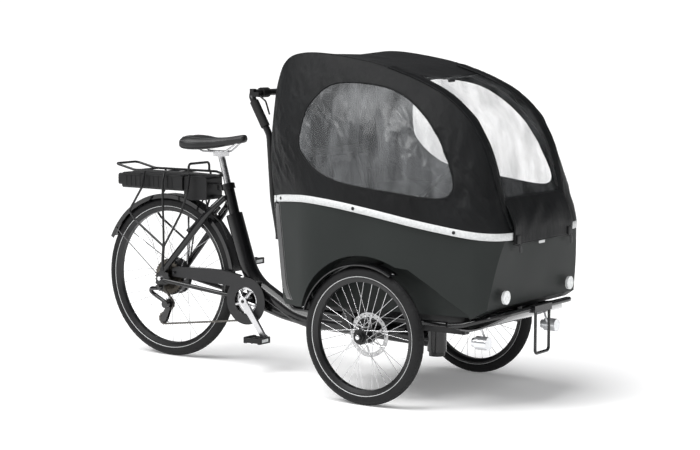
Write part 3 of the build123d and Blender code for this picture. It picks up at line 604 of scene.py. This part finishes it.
def share_where_x(x):
    """The share of the upper edge where it passes this distance ahead of the rear axle."""
    best = 0
    for k, p in enumerate(outer_path):
        if p.z > 1.0 and p.x < at(x, 0, 0).x:
            best = k
    return best / (len(outer_path) - 1)


ROOF_END = share_where_x(1.305)
WINDOW_HALF = 0.206
FLAP_TOP = 0.735


def back_panel():
    """Back sheet from the rim up to the roof, the roof itself, and its front hem."""
    rows = []
    for i in range(ROWS + 1):
        right = path_at(outer_path, ROOF_END * i / ROWS)
        upright = max(0, min(1, (at(0, 0, 1.12).z - right.z) / 0.1))
        row = []
        for k in range(49):
            t = k / 48
            y = -right.y * (1 - 2 * t)
            inner = math.sin(math.pi * t)
            ripple = 0.005 * noise.noise(Vector((right.x * 6, y * 7, right.z * 3.5)))
            sag = -0.012 * inner * (1 - upright)
            lean = 0.014 * inner * upright
            row.append(Vector((right.x + lean + ripple * inner * upright, y,
                               right.z + sag + ripple * inner * (1 - upright))))
        rows.append(row)
    hood_sheet("hood_roof", rows, "roof_fabric", CLOTH, flat=(0.60, 1.01), held="stretched",
               rests_on=["hood_hoops"])
    hood_cord("roof_hem", rows[-1][::3], ROOF_HEM_R)


def front_window():
    """Clear sheet between the two arches, from the roof's hem down to the flap."""
    rows = []
    for i in range(61):
        right = path_at(outer_path, ROOF_END + (1 - ROOF_END) * i / 60)
        if right.z < FLAP_TOP - 0.02:
            break
        row = []
        for k in range(33):
            t = k / 32
            y = -right.y * (1 - 2 * t)
            inner = math.sin(math.pi * t)
            ripple = 0.004 * noise.noise(Vector((right.x * 5, y * 9, right.z * 5)))
            sag = Vector((-0.004 * inner + ripple * inner * 0.6, 0, -0.008 * inner + ripple * inner))
            row.append(Vector((right.x, y, right.z)) + sag)
        rows.append(row)
    sheet = hood_sheet("front_window", rows, "front_vinyl", VINYL, slot="clear_vinyl", flat=(0.52, 0.61),
                       held="stretched", rests_on=["hood_hoops"])
    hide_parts("hood_windows")


def arch_strip(side):
    """Wide black strip that lies over each hoop, from the roof to the rim, beside the front window."""
    rows = []
    for i in range(101):
        share = ROOF_END - 0.05 + (1.05 - ROOF_END) * i / 100
        right = path_at(outer_path, share)
        ahead = path_at(outer_path, min(share + 0.01, 1)) - path_at(outer_path, max(share - 0.01, 0))
        normal = Vector((-ahead.z, 0, ahead.x)).normalized()
        if normal.z < 0 and normal.x < 0:
            normal = -normal
        row = []
        for k in range(13):
            t = k / 12
            y = right.y + 0.004 - (right.y + 0.004 - WINDOW_HALF + 0.02 * max(0, (0.9 - right.z))) * t
            crease = noise.noise(Vector((right.x * 30, k * 0.7, right.z * 30)))
            bulge = 0.0045 * math.sin(math.pi * t) + 0.002 * crease
            spot = Vector((right.x, y, right.z)) + normal * (bulge + 0.001)
            row.append(Vector((spot.x, side * spot.y, spot.z)))
        rows.append(row)
    rows = mirrored(rows, side)
    hood_sheet("arch_strip_" + SIDES[side], rows, "hood_fabric", STRIP, flat=(0.066, 0.80), held="stretched",
               rests_on=["hood_hoops"])
    edge = [row[-1 if side < 0 else 0] for row in rows][::4]
    hood_cord("arch_seam_" + SIDES[side], edge, SEAM_R)


back_panel()
front_window()
for sign in SIDES:
    arch_strip(sign)


def front_flap():
    """Fabric flap below the front window, hanging over the tub's front edge."""
    rows = []
    for i in range(25):
        down = i / 24
        row = []
        for k in range(41):
            t = k / 40
            y = -0.214 + 0.428 * t
            z = FLAP_TOP + 0.012 - (FLAP_TOP + 0.012 - 0.592) * down
            x = 1.664 + 0.046 * math.sin(math.pi / 2 * min(1, down * 1.4)) + 0.002 * math.sin(math.pi * t)
            ripple = 0.0045 * noise.noise(Vector((y * 13 + down * 2, down * 1.5, 3)))
            row.append(at(x + ripple * math.sin(math.pi * min(1, 0.15 + down)), y, z))
        rows.append(row)
    hood_sheet("front_flap", rows, "hood_fabric", CLOTH, -1, flat=(0.43, 0.17), held="hung",
               rests_on=["cabin_shell"])
    for index, row in enumerate((rows[0], rows[-1])):
        hood_cord("flap_hem_%d" % index, row[::4], FLAP_HEM_R)


front_flap()


# How far the band's section lies above the rim and out from it, from its top edge down.
BAND = ((0.002, -0.001), (0.001, 0.0008), (-0.011, 0.001), (-0.023, 0.0008), (-0.024, -0.001))


def reflective_band():
    """Light band sewn round the hood's lower edge, on both sides and just past the front corners."""
    for side in SIDES:
        rows = []
        for i in range(141):
            p = path_at(rim_path, i / 140)
            q = path_at(rim_path, min(1, i / 140 + 0.01)) - path_at(rim_path, max(0, i / 140 - 0.01))
            out = Vector((q.y, -q.x, 0)).normalized()
            if out.y < 0:
                out = -out
            if p.x > at(1.69, 0, 0).x:
                out = Vector((1, 0, 0))
            base = p + out * 0.0022
            row = [base + Vector((0, 0, up)) + out * lift for up, lift in BAND]
            rows.append([Vector((v.x, side * v.y, v.z)) for v in row])
        hood_sheet("reflective_band_" + SIDES[side], mirrored(rows, side), "reflective_band", BAND_THICKNESS,
                   -1, flat=(0.03, 1.02), held="stretched", rests_on=["hood_cover"])


reflective_band()

# ---------------------------------------------------------------- chain
PITCH = 0.0127
CHAIN_Y = -0.0435
CURVE_STEPS = 60
OUTER_PLATE_Y = 0.0034
INNER_PLATE_Y = 0.0024
PLATE = 0.001
PLATE_END_R = 0.0042
PLATE_WAIST = 0.0029
ROLLER_R = 0.0036
ROLLER_HALF = 0.0019
RIVET_R = 0.0017
RIVET_HALF = 0.0043
RIVET_HEAD_FROM = 0.0029


def sprocket(x, z, teeth, sense):
    """Centre, pitch radius, and the way that the chain goes round: -1 for a wheel outside the loop."""
    return Vector((x, z)), PITCH / (2 * math.sin(math.pi / teeth)), sense


# In the order in which the chain meets them: driven sprocket, chainring, lower and upper jockey wheels.
SPROCKETS = (sprocket(0.0, AXLE_Z, 18, 1), sprocket(BRACKET_X, BRACKET_Z, 38, 1),
             sprocket(-0.007, 0.156, 11, 1), sprocket(0.021, 0.219, 11, -1))


def chain_path():
    """Dense points, in X and Z, along the chain's loop in its direction of travel."""
    runs = []
    for k, (centre, radius, sense) in enumerate(SPROCKETS):
        other, other_r, other_sense = SPROCKETS[(k + 1) % 4]
        span = other - centre
        lean = math.asin((sense * radius - other_sense * other_r) / span.length)
        heading = math.atan2(span.y, span.x) - lean
        normal = Vector((-math.sin(heading), math.cos(heading)))
        runs.append((centre + normal * sense * radius, other + normal * other_sense * other_r))
    points = []
    for k in range(4):
        start, end = runs[k]
        points += [start.lerp(end, t / CURVE_STEPS) for t in range(CURVE_STEPS)]
        centre, radius, sense = SPROCKETS[(k + 1) % 4]
        leave = runs[(k + 1) % 4][0]
        first = math.atan2(end.y - centre.y, end.x - centre.x)
        last = math.atan2(leave.y - centre.y, leave.x - centre.x)
        turn = (first - last) % (2 * math.pi) if sense > 0 else -((last - first) % (2 * math.pi))
        for t in range(CURVE_STEPS):
            angle = first - turn * t / CURVE_STEPS
            points.append(centre + radius * Vector((math.cos(angle), math.sin(angle))))
    return points


def link_plate(half_pitch, y):
    """One side plate of a link, lying along X round its middle."""
    outline = []
    for k in range(7):
        a = math.radians(-75 + 25 * k)
        outline.append((half_pitch + PLATE_END_R * math.cos(a), PLATE_END_R * math.sin(a)))
    outline.append((0, PLATE_WAIST))
    outline += [(-x, z) for x, z in reversed(outline[:7])]
    outline.append((0, -PLATE_WAIST))
    count = len(outline)
    points = [(x, y, z) for x, z in outline] + [(x, y + PLATE, z) for x, z in outline]
    faces = [tuple(range(count)), tuple(reversed(range(count, 2 * count)))]
    faces += [(k, count + k, count + (k + 1) % count, (k + 1) % count) for k in range(count)]
    return points, faces


def pin(x, y_low, y_high, radius):
    """A ten-sided round pin across the chain."""
    points = []
    for y in (y_low, y_high):
        points += [(x + radius * math.cos(math.pi * k / 5), y, radius * math.sin(math.pi * k / 5))
                   for k in range(10)]
    faces = [tuple(range(10)), tuple(reversed(range(10, 20)))]
    faces += [(k, 10 + k, 10 + (k + 1) % 10, (k + 1) % 10) for k in range(10)]
    return points, faces


def build_chain():
    """Alternate inner and outer links, pin to pin along the chain's loop."""
    path = chain_path()
    closed = path + [path[0]]
    lengths = [0.0]
    for a, b in zip(closed, closed[1:]):
        lengths.append(lengths[-1] + (b - a).length)
    count = 2 * round(lengths[-1] / PITCH / 2)

    def along(distance):
        distance %= lengths[-1]
        k = max(i for i, value in enumerate(lengths[:-1]) if value <= distance)
        share = (distance - lengths[k]) / max(lengths[k + 1] - lengths[k], 1e-9)
        return closed[k].lerp(closed[k + 1], share)

    joints = [along(lengths[-1] * i / count) for i in range(count)]
    points, faces = [], []
    for i in range(count):
        a, b = joints[i], joints[(i + 1) % count]
        mid = (a + b) / 2
        heading = math.atan2(b.y - a.y, b.x - a.x)
        offset = OUTER_PLATE_Y if i % 2 == 0 else INNER_PLATE_Y
        parts = [link_plate((b - a).length / 2, side * offset - PLATE / 2) for side in SIDES]
        start = -(b - a).length / 2
        on_sprocket = any((a - centre).length < radius + 0.009 for centre, radius, _ in SPROCKETS)
        if on_sprocket:
            # The sprockets turn while the chain stands still, so only the rivet heads are made here.
            parts.append(pin(start, -RIVET_HALF, -RIVET_HEAD_FROM, RIVET_R))
            parts.append(pin(start, RIVET_HEAD_FROM, RIVET_HALF, RIVET_R))
        else:
            parts.append(pin(start, -ROLLER_HALF, ROLLER_HALF, ROLLER_R))
            parts.append(pin(start, -RIVET_HALF, RIVET_HALF, RIVET_R))
        turn = Matrix.Rotation(-heading, 3, "Y")
        for spots, sides in parts:
            base = len(points)
            points += [turn @ Vector(p) + at(mid.x, CHAIN_Y, mid.y) for p in spots]
            faces += [tuple(base + k for k in face) for face in sides]
    links = mesh_object("chain_links", points, faces, "chain_steel", smooth=False)
    place(links, "frame")
    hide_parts("chain")


build_chain()

# ---------------------------------------------------------------- saddle
# Distance ahead of the rear axle, half width, crown height, skirt height.
SADDLE = [(0.0845, 0.040, 0.890, 0.868), (0.094, 0.064, 0.899, 0.856), (0.112, 0.080, 0.905, 0.849),
          (0.145, 0.084, 0.905, 0.848), (0.180, 0.074, 0.901, 0.850), (0.215, 0.055, 0.899, 0.854),
          (0.250, 0.038, 0.900, 0.860), (0.300, 0.027, 0.905, 0.869), (0.345, 0.023, 0.911, 0.877),
          (0.372, 0.019, 0.914, 0.883), (0.3825, 0.010, 0.909, 0.893)]


def saddle_row(share):
    """Half width, crown and skirt heights at a share of the saddle's length."""
    track = [Vector((s[0], s[1], s[2])) for s in SADDLE]
    skirt = [Vector((s[0], 0, s[3])) for s in SADDLE]
    a = path_at(smooth_path(track, 120), share)
    low = min(smooth_path(skirt, 160), key=lambda p: abs(p.x - a.x)).z
    return a.x, a.y, a.z, low


def saddle_point(row, turn):
    """turn runs once round the section: 0 is the middle of the crown, 0.5 the middle underneath."""
    x, half, crown, skirt = row
    angle = 2 * math.pi * turn
    c, s = math.cos(angle), math.sin(angle)
    y = half * math.copysign(abs(s) ** 0.75, s)
    z = (crown + skirt) / 2 + (crown - skirt) / 2 * math.copysign(abs(c) ** (0.8 if c > 0 else 0.45), c)
    if c > 0:
        z -= 0.0042 * math.exp(-(y / 0.009) ** 2) * (1 - min(1, max(0, (x - 0.30) / 0.06)))
        z -= 0.004 * (abs(s) ** 3)
    return at(x, y, z)


def build_saddle():
    lengthwise = 72
    around = 56
    table = [saddle_row(i / lengthwise) for i in range(lengthwise + 1)]
    rows = [[saddle_point(row, j / around) for j in range(around)] for row in table]
    shell = grid_object("saddle_body", rows, "saddle_cover", close_columns=True)
    face_outward(shell, close_ends=True)
    apply_modifier(shell, "SUBSURF", levels=1)
    shade_smooth(shell)
    place(shell, "seat")
    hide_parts("saddle")
    for side in SIDES:
        for index, turn in enumerate((0.105, 0.205)):
            line = [saddle_point(row, 0.5 + side * (0.5 - turn)) + Vector((0, side * 0.0003, 0.0004))
                    for row in table[4:-3]]
            tag = "%d_%s" % (index, SIDES[side][0])
            place(tube("saddle_seam_" + tag, line[::3], 0.0011, "saddle_cover"), "seat")
            stitches("saddle_stitch_" + tag, line, 0.0055, 0.0005, Vector((0, 0, 0.0012)), "seat")


def stitches(name, line, pitch, radius, lift, body):
    """Separate thread stitches along a line."""
    length = sum((b - a).length for a, b in zip(line, line[1:]))
    count = max(2, int(length / pitch))
    even = smooth_path(line, count * 3 + 1)
    points, faces = [], []
    for k in range(count):
        a, b = even[3 * k] + lift, even[3 * k + 2] + lift
        ahead = (b - a).normalized()
        side = ahead.cross(Vector((0, 0, 1)))
        side = side.normalized() if side.length > 0.01 else Vector((0, 1, 0))
        up = side.cross(ahead)
        base = len(points)
        for spot, scale in ((a, 0.5), (a.lerp(b, 0.25), 1), (a.lerp(b, 0.75), 1), (b, 0.5)):
            points += [spot + (side * math.cos(t) + up * math.sin(t)) * radius * scale
                       for t in (k * math.pi / 3 for k in range(6))]
        for start in (base, base + 6, base + 12):
            faces += [(start + m, start + (m + 1) % 6, start + 6 + (m + 1) % 6, start + 6 + m)
                      for m in range(6)]
        faces += [tuple(base + m for m in range(5, -1, -1)), tuple(base + 18 + m for m in range(6))]
    place(mesh_object(name, points, faces, "thread"), body)


build_saddle()

# ---------------------------------------------------------------- cushions
CUSHION_FRAMES = 20
CUSHION_CAP = 0.009
CUSHION_SHRINK = 0.013
CUSHION_VOXEL = 0.0065
CHANNEL_DEPTH = 0.005
CHANNEL_WIDTH = 0.007


def separate_solids(obj):
    """The points and faces of each closed solid in a mesh, lowest first."""
    bm = bmesh.new()
    bm.from_mesh(obj.data)
    bmesh.ops.remove_doubles(bm, verts=bm.verts, dist=0.00005)
    pending = set(bm.verts)
    islands = []
    while pending:
        stack = [pending.pop()]
        island = []
        while stack:
            vert = stack.pop()
            island.append(vert)
            for edge in vert.link_edges:
                other = edge.other_vert(vert)
                if other in pending:
                    pending.remove(other)
                    stack.append(other)
        islands.append(island)
    shapes = []
    for island in islands:
        members = set(island)
        index = {v: k for k, v in enumerate(island)}
        faces = [[index[v] for v in f.verts] for f in bm.faces if f.verts[0] in members]
        shapes.append(([v.co.copy() for v in island], faces))
    bm.free()
    return sorted(shapes, key=lambda item: (sum(p.z for p in item[0]) / len(item[0]), item[0][0].y))


def blow_up(pad):
    """Inflate a pad as cloth, and stop every point at the cap."""
    rest = [v.co.copy() for v in pad.data.vertices]
    cloth = pad.modifiers.new("cloth", "CLOTH")
    cloth.settings.use_pressure = True
    cloth.settings.uniform_pressure_force = 4
    cloth.settings.quality = 4
    cloth.settings.effector_weights.gravity = 0
    cloth.point_cache.frame_start = 1
    cloth.point_cache.frame_end = CUSHION_FRAMES
    for frame_number in range(1, CUSHION_FRAMES + 1):
        bpy.context.scene.frame_set(frame_number)
    graph = bpy.context.evaluated_depsgraph_get()
    blown = [v.co.copy() for v in pad.evaluated_get(graph).data.vertices]
    pad.modifiers.clear()
    for vert, start, end in zip(pad.data.vertices, rest, blown):
        step = end - start
        if step.length > CUSHION_CAP:
            step *= CUSHION_CAP / step.length
        vert.co = start + step
    bpy.context.scene.frame_set(1)


def build_cushions():
    """The bench's seat and back cushions, blown up as cloth from a slightly smaller shape."""
    for number, (points, faces) in enumerate(separate_solids(nodes["seat_cushions"])):
        pad = mesh_object("cushion_%d" % number, points, faces, "cushion_fabric")
        apply_modifier(pad, "REMESH", mode="VOXEL", voxel_size=CUSHION_VOXEL)
        mid = sum((v.co for v in pad.data.vertices), Vector()) / len(pad.data.vertices)
        low = Vector((min(v.co[k] for v in pad.data.vertices) for k in range(3)))
        high = Vector((max(v.co[k] for v in pad.data.vertices) for k in range(3)))
        for v in pad.data.vertices:
            for k in range(3):
                scale = max(0.5, 1 - CUSHION_SHRINK / (high[k] - low[k]))
                v.co[k] = mid[k] + (v.co[k] - mid[k]) * scale
        blow_up(pad)
        for y in (low.y + (high.y - low.y) * t for t in (1 / 3, 2 / 3)):
            for vert in pad.data.vertices:
                press = math.exp(-((vert.co.y - y) / CHANNEL_WIDTH) ** 2)
                vert.co += (mid - vert.co).normalized() * CHANNEL_DEPTH * press
        for vert in pad.data.vertices:
            for k in range(3):
                vert.co[k] = min(max(vert.co[k], low[k] - 0.0005), high[k] + 0.0005)
        apply_modifier(pad, "SUBSURF", levels=1)
        shade_smooth(pad)
        place(pad, "front")
    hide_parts("seat_cushions")


build_cushions()


# ---------------------------------------------------------------- harness, buckles, studs and tags
STRAP = 0.0014


def strap(name, points, width, length, across, body, slot_name, **declared):
    """Flat webbing along points; its cut length is not used; across is the direction of its width."""
    line = smooth_path(points, 40)
    across = Vector(across).normalized()
    rows = [[p + across * width * (k / 6 - 0.5) for k in range(7)] for p in line]
    piece = grid_object(name, rows, "webbing")
    thicken(piece, STRAP)
    place(piece, body)


def hood_strap(name, points, width, length, rests_on, across=(0, 1, 0)):
    """Webbing that hangs on the hood."""
    strap(name, points, width, length, across, "hood", "hood_fabric", held="hung", rests_on=[rests_on])


def rounded_box(name, centre, size, mat, body, slot_name, pitch=0.0, bevel=0.2):
    """A small moulded block with soft edges, pitched about the Y axis."""
    x, y, z = (v / 2 for v in size)
    corners = [(a, b, c) for c in (-z, z) for a, b in ((-x, -y), (x, -y), (x, y), (-x, y))]
    faces = [(3, 2, 1, 0), (4, 5, 6, 7), (0, 1, 5, 4), (1, 2, 6, 5), (2, 3, 7, 6), (3, 0, 4, 7)]
    spin = Matrix.Rotation(pitch, 3, "Y")
    piece = mesh_object(name, [spin @ Vector(c) + Vector(centre) for c in corners], faces, mat, smooth=False)
    apply_modifier(piece, "BEVEL", width=min(size) * bevel, segments=3)
    shade_smooth(piece)
    place(piece, body)


def hood_block(name, centre, size, mat="black_plastic", **shape):
    """A small moulded part on the hood."""
    rounded_box(name, centre, size, mat, "hood", "hood_fabric", **shape)


# A domed button's profile, as shares of its radius and height.
DOME = ((0.0001, 1.0), (0.45, 0.96), (0.75, 0.8), (0.93, 0.5), (1.0, 0.15), (1.0, 0.0), (0.0001, 0.0))


def round_stud(name, centre, facing, radius, height, mat, body):
    """A domed button whose flat side looks back along facing."""
    facing = Vector(facing).normalized()
    turn = facing.to_track_quat("Z", "Y").to_matrix()
    rows = []
    for r, h in DOME:
        rows.append([Vector(centre) + turn @ Vector((radius * r * math.cos(2 * math.pi * k / 20),
                                                     radius * r * math.sin(2 * math.pi * k / 20), height * h))
                     for k in range(20)])
    place(grid_object(name, rows, mat, close_columns=True), body)


def build_harness():
    """Two child harnesses lying over the bench's back, with their buckles."""
    for side, tag in SIDES.items():
        seat_y = side * 0.135
        for index, gap in enumerate((-0.045, 0.045)):
            route = [at(0.838, seat_y + gap, 0.860), at(0.862, seat_y + gap, 0.800),
                     at(0.880, seat_y + gap * 0.8, 0.700), at(0.905, seat_y + gap * 0.5, 0.620),
                     at(0.945, seat_y + gap * 0.2, 0.560)]
            strap("harness_%s_%d" % (tag, index), route, 0.024, 0.33, (0, 1, 0), "front", "cushion_fabric",
                  held="laid", rests_on=["seat_cushions"])
        rounded_box("harness_buckle_" + tag, at(0.952, seat_y, 0.553), (0.044, 0.034, 0.014),
                    "black_plastic", "front", "black_plastic", pitch=0.7)


def build_window_strap():
    """The strap with a slide buckle that hangs inside, behind the near window."""
    y = -0.285
    route = [at(1.500, y, 0.860), at(1.470, y, 0.830), at(1.425, y, 0.790), at(1.375, y, 0.745)]
    hood_strap("hood_strap_right", route, 0.022, 0.172, "hood_cover", (0.3, 1, -0.2))
    hood_block("hood_strap_buckle_right", at(1.450, y, 0.812), (0.034, 0.026, 0.008), pitch=-0.75)


def build_front_fittings():
    """Side-release buckles, their tabs and the tag at the foot of the front flap."""
    for side, tag in SIDES.items():
        y = side * 0.188
        route = [at(1.7095, y, 0.640), at(1.7105, y, 0.612), at(1.7090, y, 0.585)]
        hood_strap("flap_strap_" + tag, route, 0.020, 0.056, "front_flap")
        hood_block("flap_buckle_" + tag, at(1.7125, y, 0.607), (0.009, 0.024, 0.030))
        loose = [at(1.7115, y + 0.006, 0.594), at(1.716, y + 0.010, 0.578), at(1.714, y + 0.016, 0.560)]
        hood_strap("flap_strap_end_" + tag, loose, 0.018, 0.036, "flap_buckle_" + tag)
    hood_block("flap_tag", at(1.7095, -0.012, 0.588), (0.0022, 0.042, 0.018), "reflective_band", bevel=0.3)


def build_studs():
    """Press studs along the reflective band."""
    for side, tag in SIDES.items():
        tree = surface_tree(bpy.data.objects["reflective_band_" + tag])
        for number, ahead in enumerate((0.80, 1.174, 1.56)):
            x = at(ahead, 0, 0).x
            z = next(p.z for p in rim_path if p.x >= x) - 0.011
            hit, normal = cast_in(tree, x, z, side)
            if hit is not None:
                normal = normal if normal.y * side > 0 else -normal
                round_stud("stud_%s_%d" % (tag, number), hit, normal, 0.0062, 0.0032, "black_plastic", "hood")


def build_toggle():
    """Roll-up strap and toggle under the roof's front hem."""
    y = -0.02
    route = [at(1.306, y, 1.148), at(1.320, y, 1.150), at(1.334, y, 1.143)]
    hood_strap("roof_strap", route, 0.02, 0.031, "hood_roof")
    hood_block("roof_toggle", at(1.336, y, 1.144), (0.010, 0.040, 0.010), bevel=0.4)


build_harness()
build_window_strap()
build_front_fittings()
build_studs()
build_toggle()


# ---------------------------------------------------------------- trim on the tub
def on_tub(tree, x, z, side, lift):
    """A point just outside the tub's side wall, at a distance ahead of the rear axle."""
    hit = cast_in(tree, at(x, 0, 0).x, z, side)[0]
    return (hit if hit is not None else at(x, side * 0.3, z)) + Vector((0, side * lift, 0))


def build_corner_trim():
    """Black edge band down the tub's rear corners, with a grey line in the groove beside it that is a painted
    highlight.
    """
    tree = surface_tree(nodes["cabin_shell"])
    for side, tag in SIDES.items():
        rows, groove = [], []
        for i in range(41):
            z = 0.345 + 0.352 * i / 40
            base = 0.744 + 0.165 * (0.716 - z) + 0.035 + 0.03 * max(0, (0.42 - z) / 0.08) ** 2
            row = []
            for x in (base - 0.028, base - 0.026, base - 0.013, base, base + 0.002):
                row.append(on_tub(tree, x, z, side, 0.0008))
            rows.append(row)
            groove.append(on_tub(tree, base + 0.006, z, side, 0.0004))
        trim = grid_object("corner_trim_" + tag, mirrored(rows, side), "gloss_plastic")
        thicken(trim, 0.0012)
        place(trim, "front")
        # The grey line in the groove is a painted highlight.
        place(tube("corner_groove_highlight_" + tag, groove[::2], 0.0009, "groove_painted_highlight"), "front")


build_corner_trim()


def build_pedal_reflectors():
    """A pale bar on the front and the back of each pedal."""
    for body in ("pedal_right", "pedal_left"):
        low, high = (Vector(c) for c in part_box(body))
        mid = (low + high) / 2
        for side in SIDES:
            x = mid.x + side * ((high.x - low.x) / 2 - 0.0012)
            rounded_box("%s_reflector_%s" % (body, "b" if side < 0 else "f"), (x, mid.y, mid.z),
                        (0.003, 0.040, 0.012), "white_reflector", body, "black_plastic")


build_pedal_reflectors()


def outer_y(node, side):
    """How far out a node reaches on one side."""
    return Vector(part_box(node)[0 if side < 0 else 1]).y


DISC_BOLT_CIRCLE = 0.022


def build_bolts():
    """Axle ends, disc bolts, crank bolts and the screws that hold the mudguards."""
    guard = surface_tree(nodes["front_mudguards"])
    for side, tag in SIDES.items():
        body = "front_wheel_" + tag
        centre = FRONT[tag]
        end = (centre.x, outer_y("front_hub_" + tag, side), centre.z)
        round_stud("axle_end_" + tag, end, (0, side, 0), 0.0085, 0.0014, "chrome", body)
        face_y = outer_y("front_rotor_" + tag, side)
        for k in range(6):
            angle = math.radians(30 + 60 * k)
            spot = (centre.x + DISC_BOLT_CIRCLE * math.cos(angle), face_y,
                    centre.z + DISC_BOLT_CIRCLE * math.sin(angle))
            round_stud("disc_bolt_%s_%d" % (tag, k), spot, (0, side, 0), 0.0035, 0.0022, "silver", body)
        crank = surface_tree(nodes["crank_" + tag])
        spot = cast_in(crank, at(BRACKET_X, 0, 0).x, BRACKET_Z, side, 0.3)[0]
        round_stud("crank_bolt_" + tag, spot, (0, side, 0), 0.0075, 0.0022, "black_tube", "crankset")
        for number, degrees in enumerate((62, 118)):
            angle = math.radians(degrees)
            aim = Vector((math.cos(angle), 0, math.sin(angle)))
            hit = guard.ray_cast(centre + aim * 0.4, -aim)[0]
            if hit is not None:
                round_stud("mudguard_screw_%s_%d" % (tag, number), hit, aim, 0.0042, 0.0016, "silver",
                           "front")


build_bolts()

# ---------------------------------------------------------------- stage, light and camera
FLOOR_HALF = 60
Surface("pale_floor").constants({"Base Color": (0.93, 0.93, 0.93, 1), "Roughness": 0.9,
                                 "Specular IOR Level": 0.0, "Emission Color": (1, 1, 1, 1),
                                 "Emission Strength": 0.16})
corners = [(x, y, 0) for x, y in ((-1, -1), (1, -1), (1, 1), (-1, 1))]
floor = mesh_object("floor", [Vector(c) * FLOOR_HALF for c in corners], [(0, 1, 2, 3)], "pale_floor",
                    smooth=False)

world = bpy.data.worlds.new("studio")
world.use_nodes = True
world_nodes = world.node_tree.nodes
world_links = world.node_tree.links
sky_place = world_nodes.new("ShaderNodeTexCoord")
sky_split = world_nodes.new("ShaderNodeSeparateXYZ")
world_links.new(sky_place.outputs["Generated"], sky_split.inputs["Vector"])
sky = world_nodes.new("ShaderNodeValToRGB")
world_links.new(sky_split.outputs["Z"], sky.inputs["Fac"])
sky.color_ramp.elements[0].position = 0.03
sky.color_ramp.elements[0].color = (1.1, 1.1, 1.1, 1)
sky.color_ramp.elements[1].position = 0.1
sky.color_ramp.elements[1].color = (0.16, 0.16, 0.165, 1)
world_links.new(sky.outputs["Color"], world_nodes["Background"].inputs["Color"])
bpy.context.scene.world = world


def area_light(name, location, target, size, power):
    light = bpy.data.lights.new(name, "AREA")
    light.shape = "RECTANGLE"
    light.size, light.size_y = size
    light.energy = power
    lamp = bpy.data.objects.new(name, light)
    bpy.context.collection.objects.link(lamp)
    lamp.location = location
    lamp.rotation_euler = (Vector(target) - Vector(location)).to_track_quat("-Z", "Y").to_euler()


sun = bpy.data.lights.new("soft_key", "SUN")
sun.energy = 3.1
sun.angle = math.radians(50)
sun_lamp = bpy.data.objects.new("soft_key", sun)
bpy.context.collection.objects.link(sun_lamp)
sun_lamp.rotation_euler = Vector((0.25, 0.35, -1)).to_track_quat("-Z", "Y").to_euler()
area_light("long_strip", (-2.2, -3.4, 3.4), (0.2, -0.2, 0.7), (2.4, 0.8), 60)
area_light("raking", (-0.6, -3.2, 3.0), (0.75, -0.3, 0.9), (0.7, 0.7), 28)
area_light("nose_strip", (3.6, -1.4, 2.6), (0.9, 0, 0.8), (0.8, 1.8), 40)

CAMERA_FROM_AXLE = (4.806, -5.7258, 1.3323)
CAMERA_YAW = 34.463
CAMERA_PITCH = -6.11
CAMERA_ROLL = -0.15
LENS_MM = 94.64
camera_data = bpy.data.cameras.new("camera")
camera_data.lens = LENS_MM
camera_data.sensor_width = 36
camera = bpy.data.objects.new("camera", camera_data)
bpy.context.collection.objects.link(camera)
camera.location = at(*CAMERA_FROM_AXLE)
camera.rotation_euler = (math.radians(90 + CAMERA_PITCH), math.radians(CAMERA_ROLL), math.radians(CAMERA_YAW))
bpy.context.scene.camera = camera
bpy.context.scene.view_settings.view_transform = "Standard"
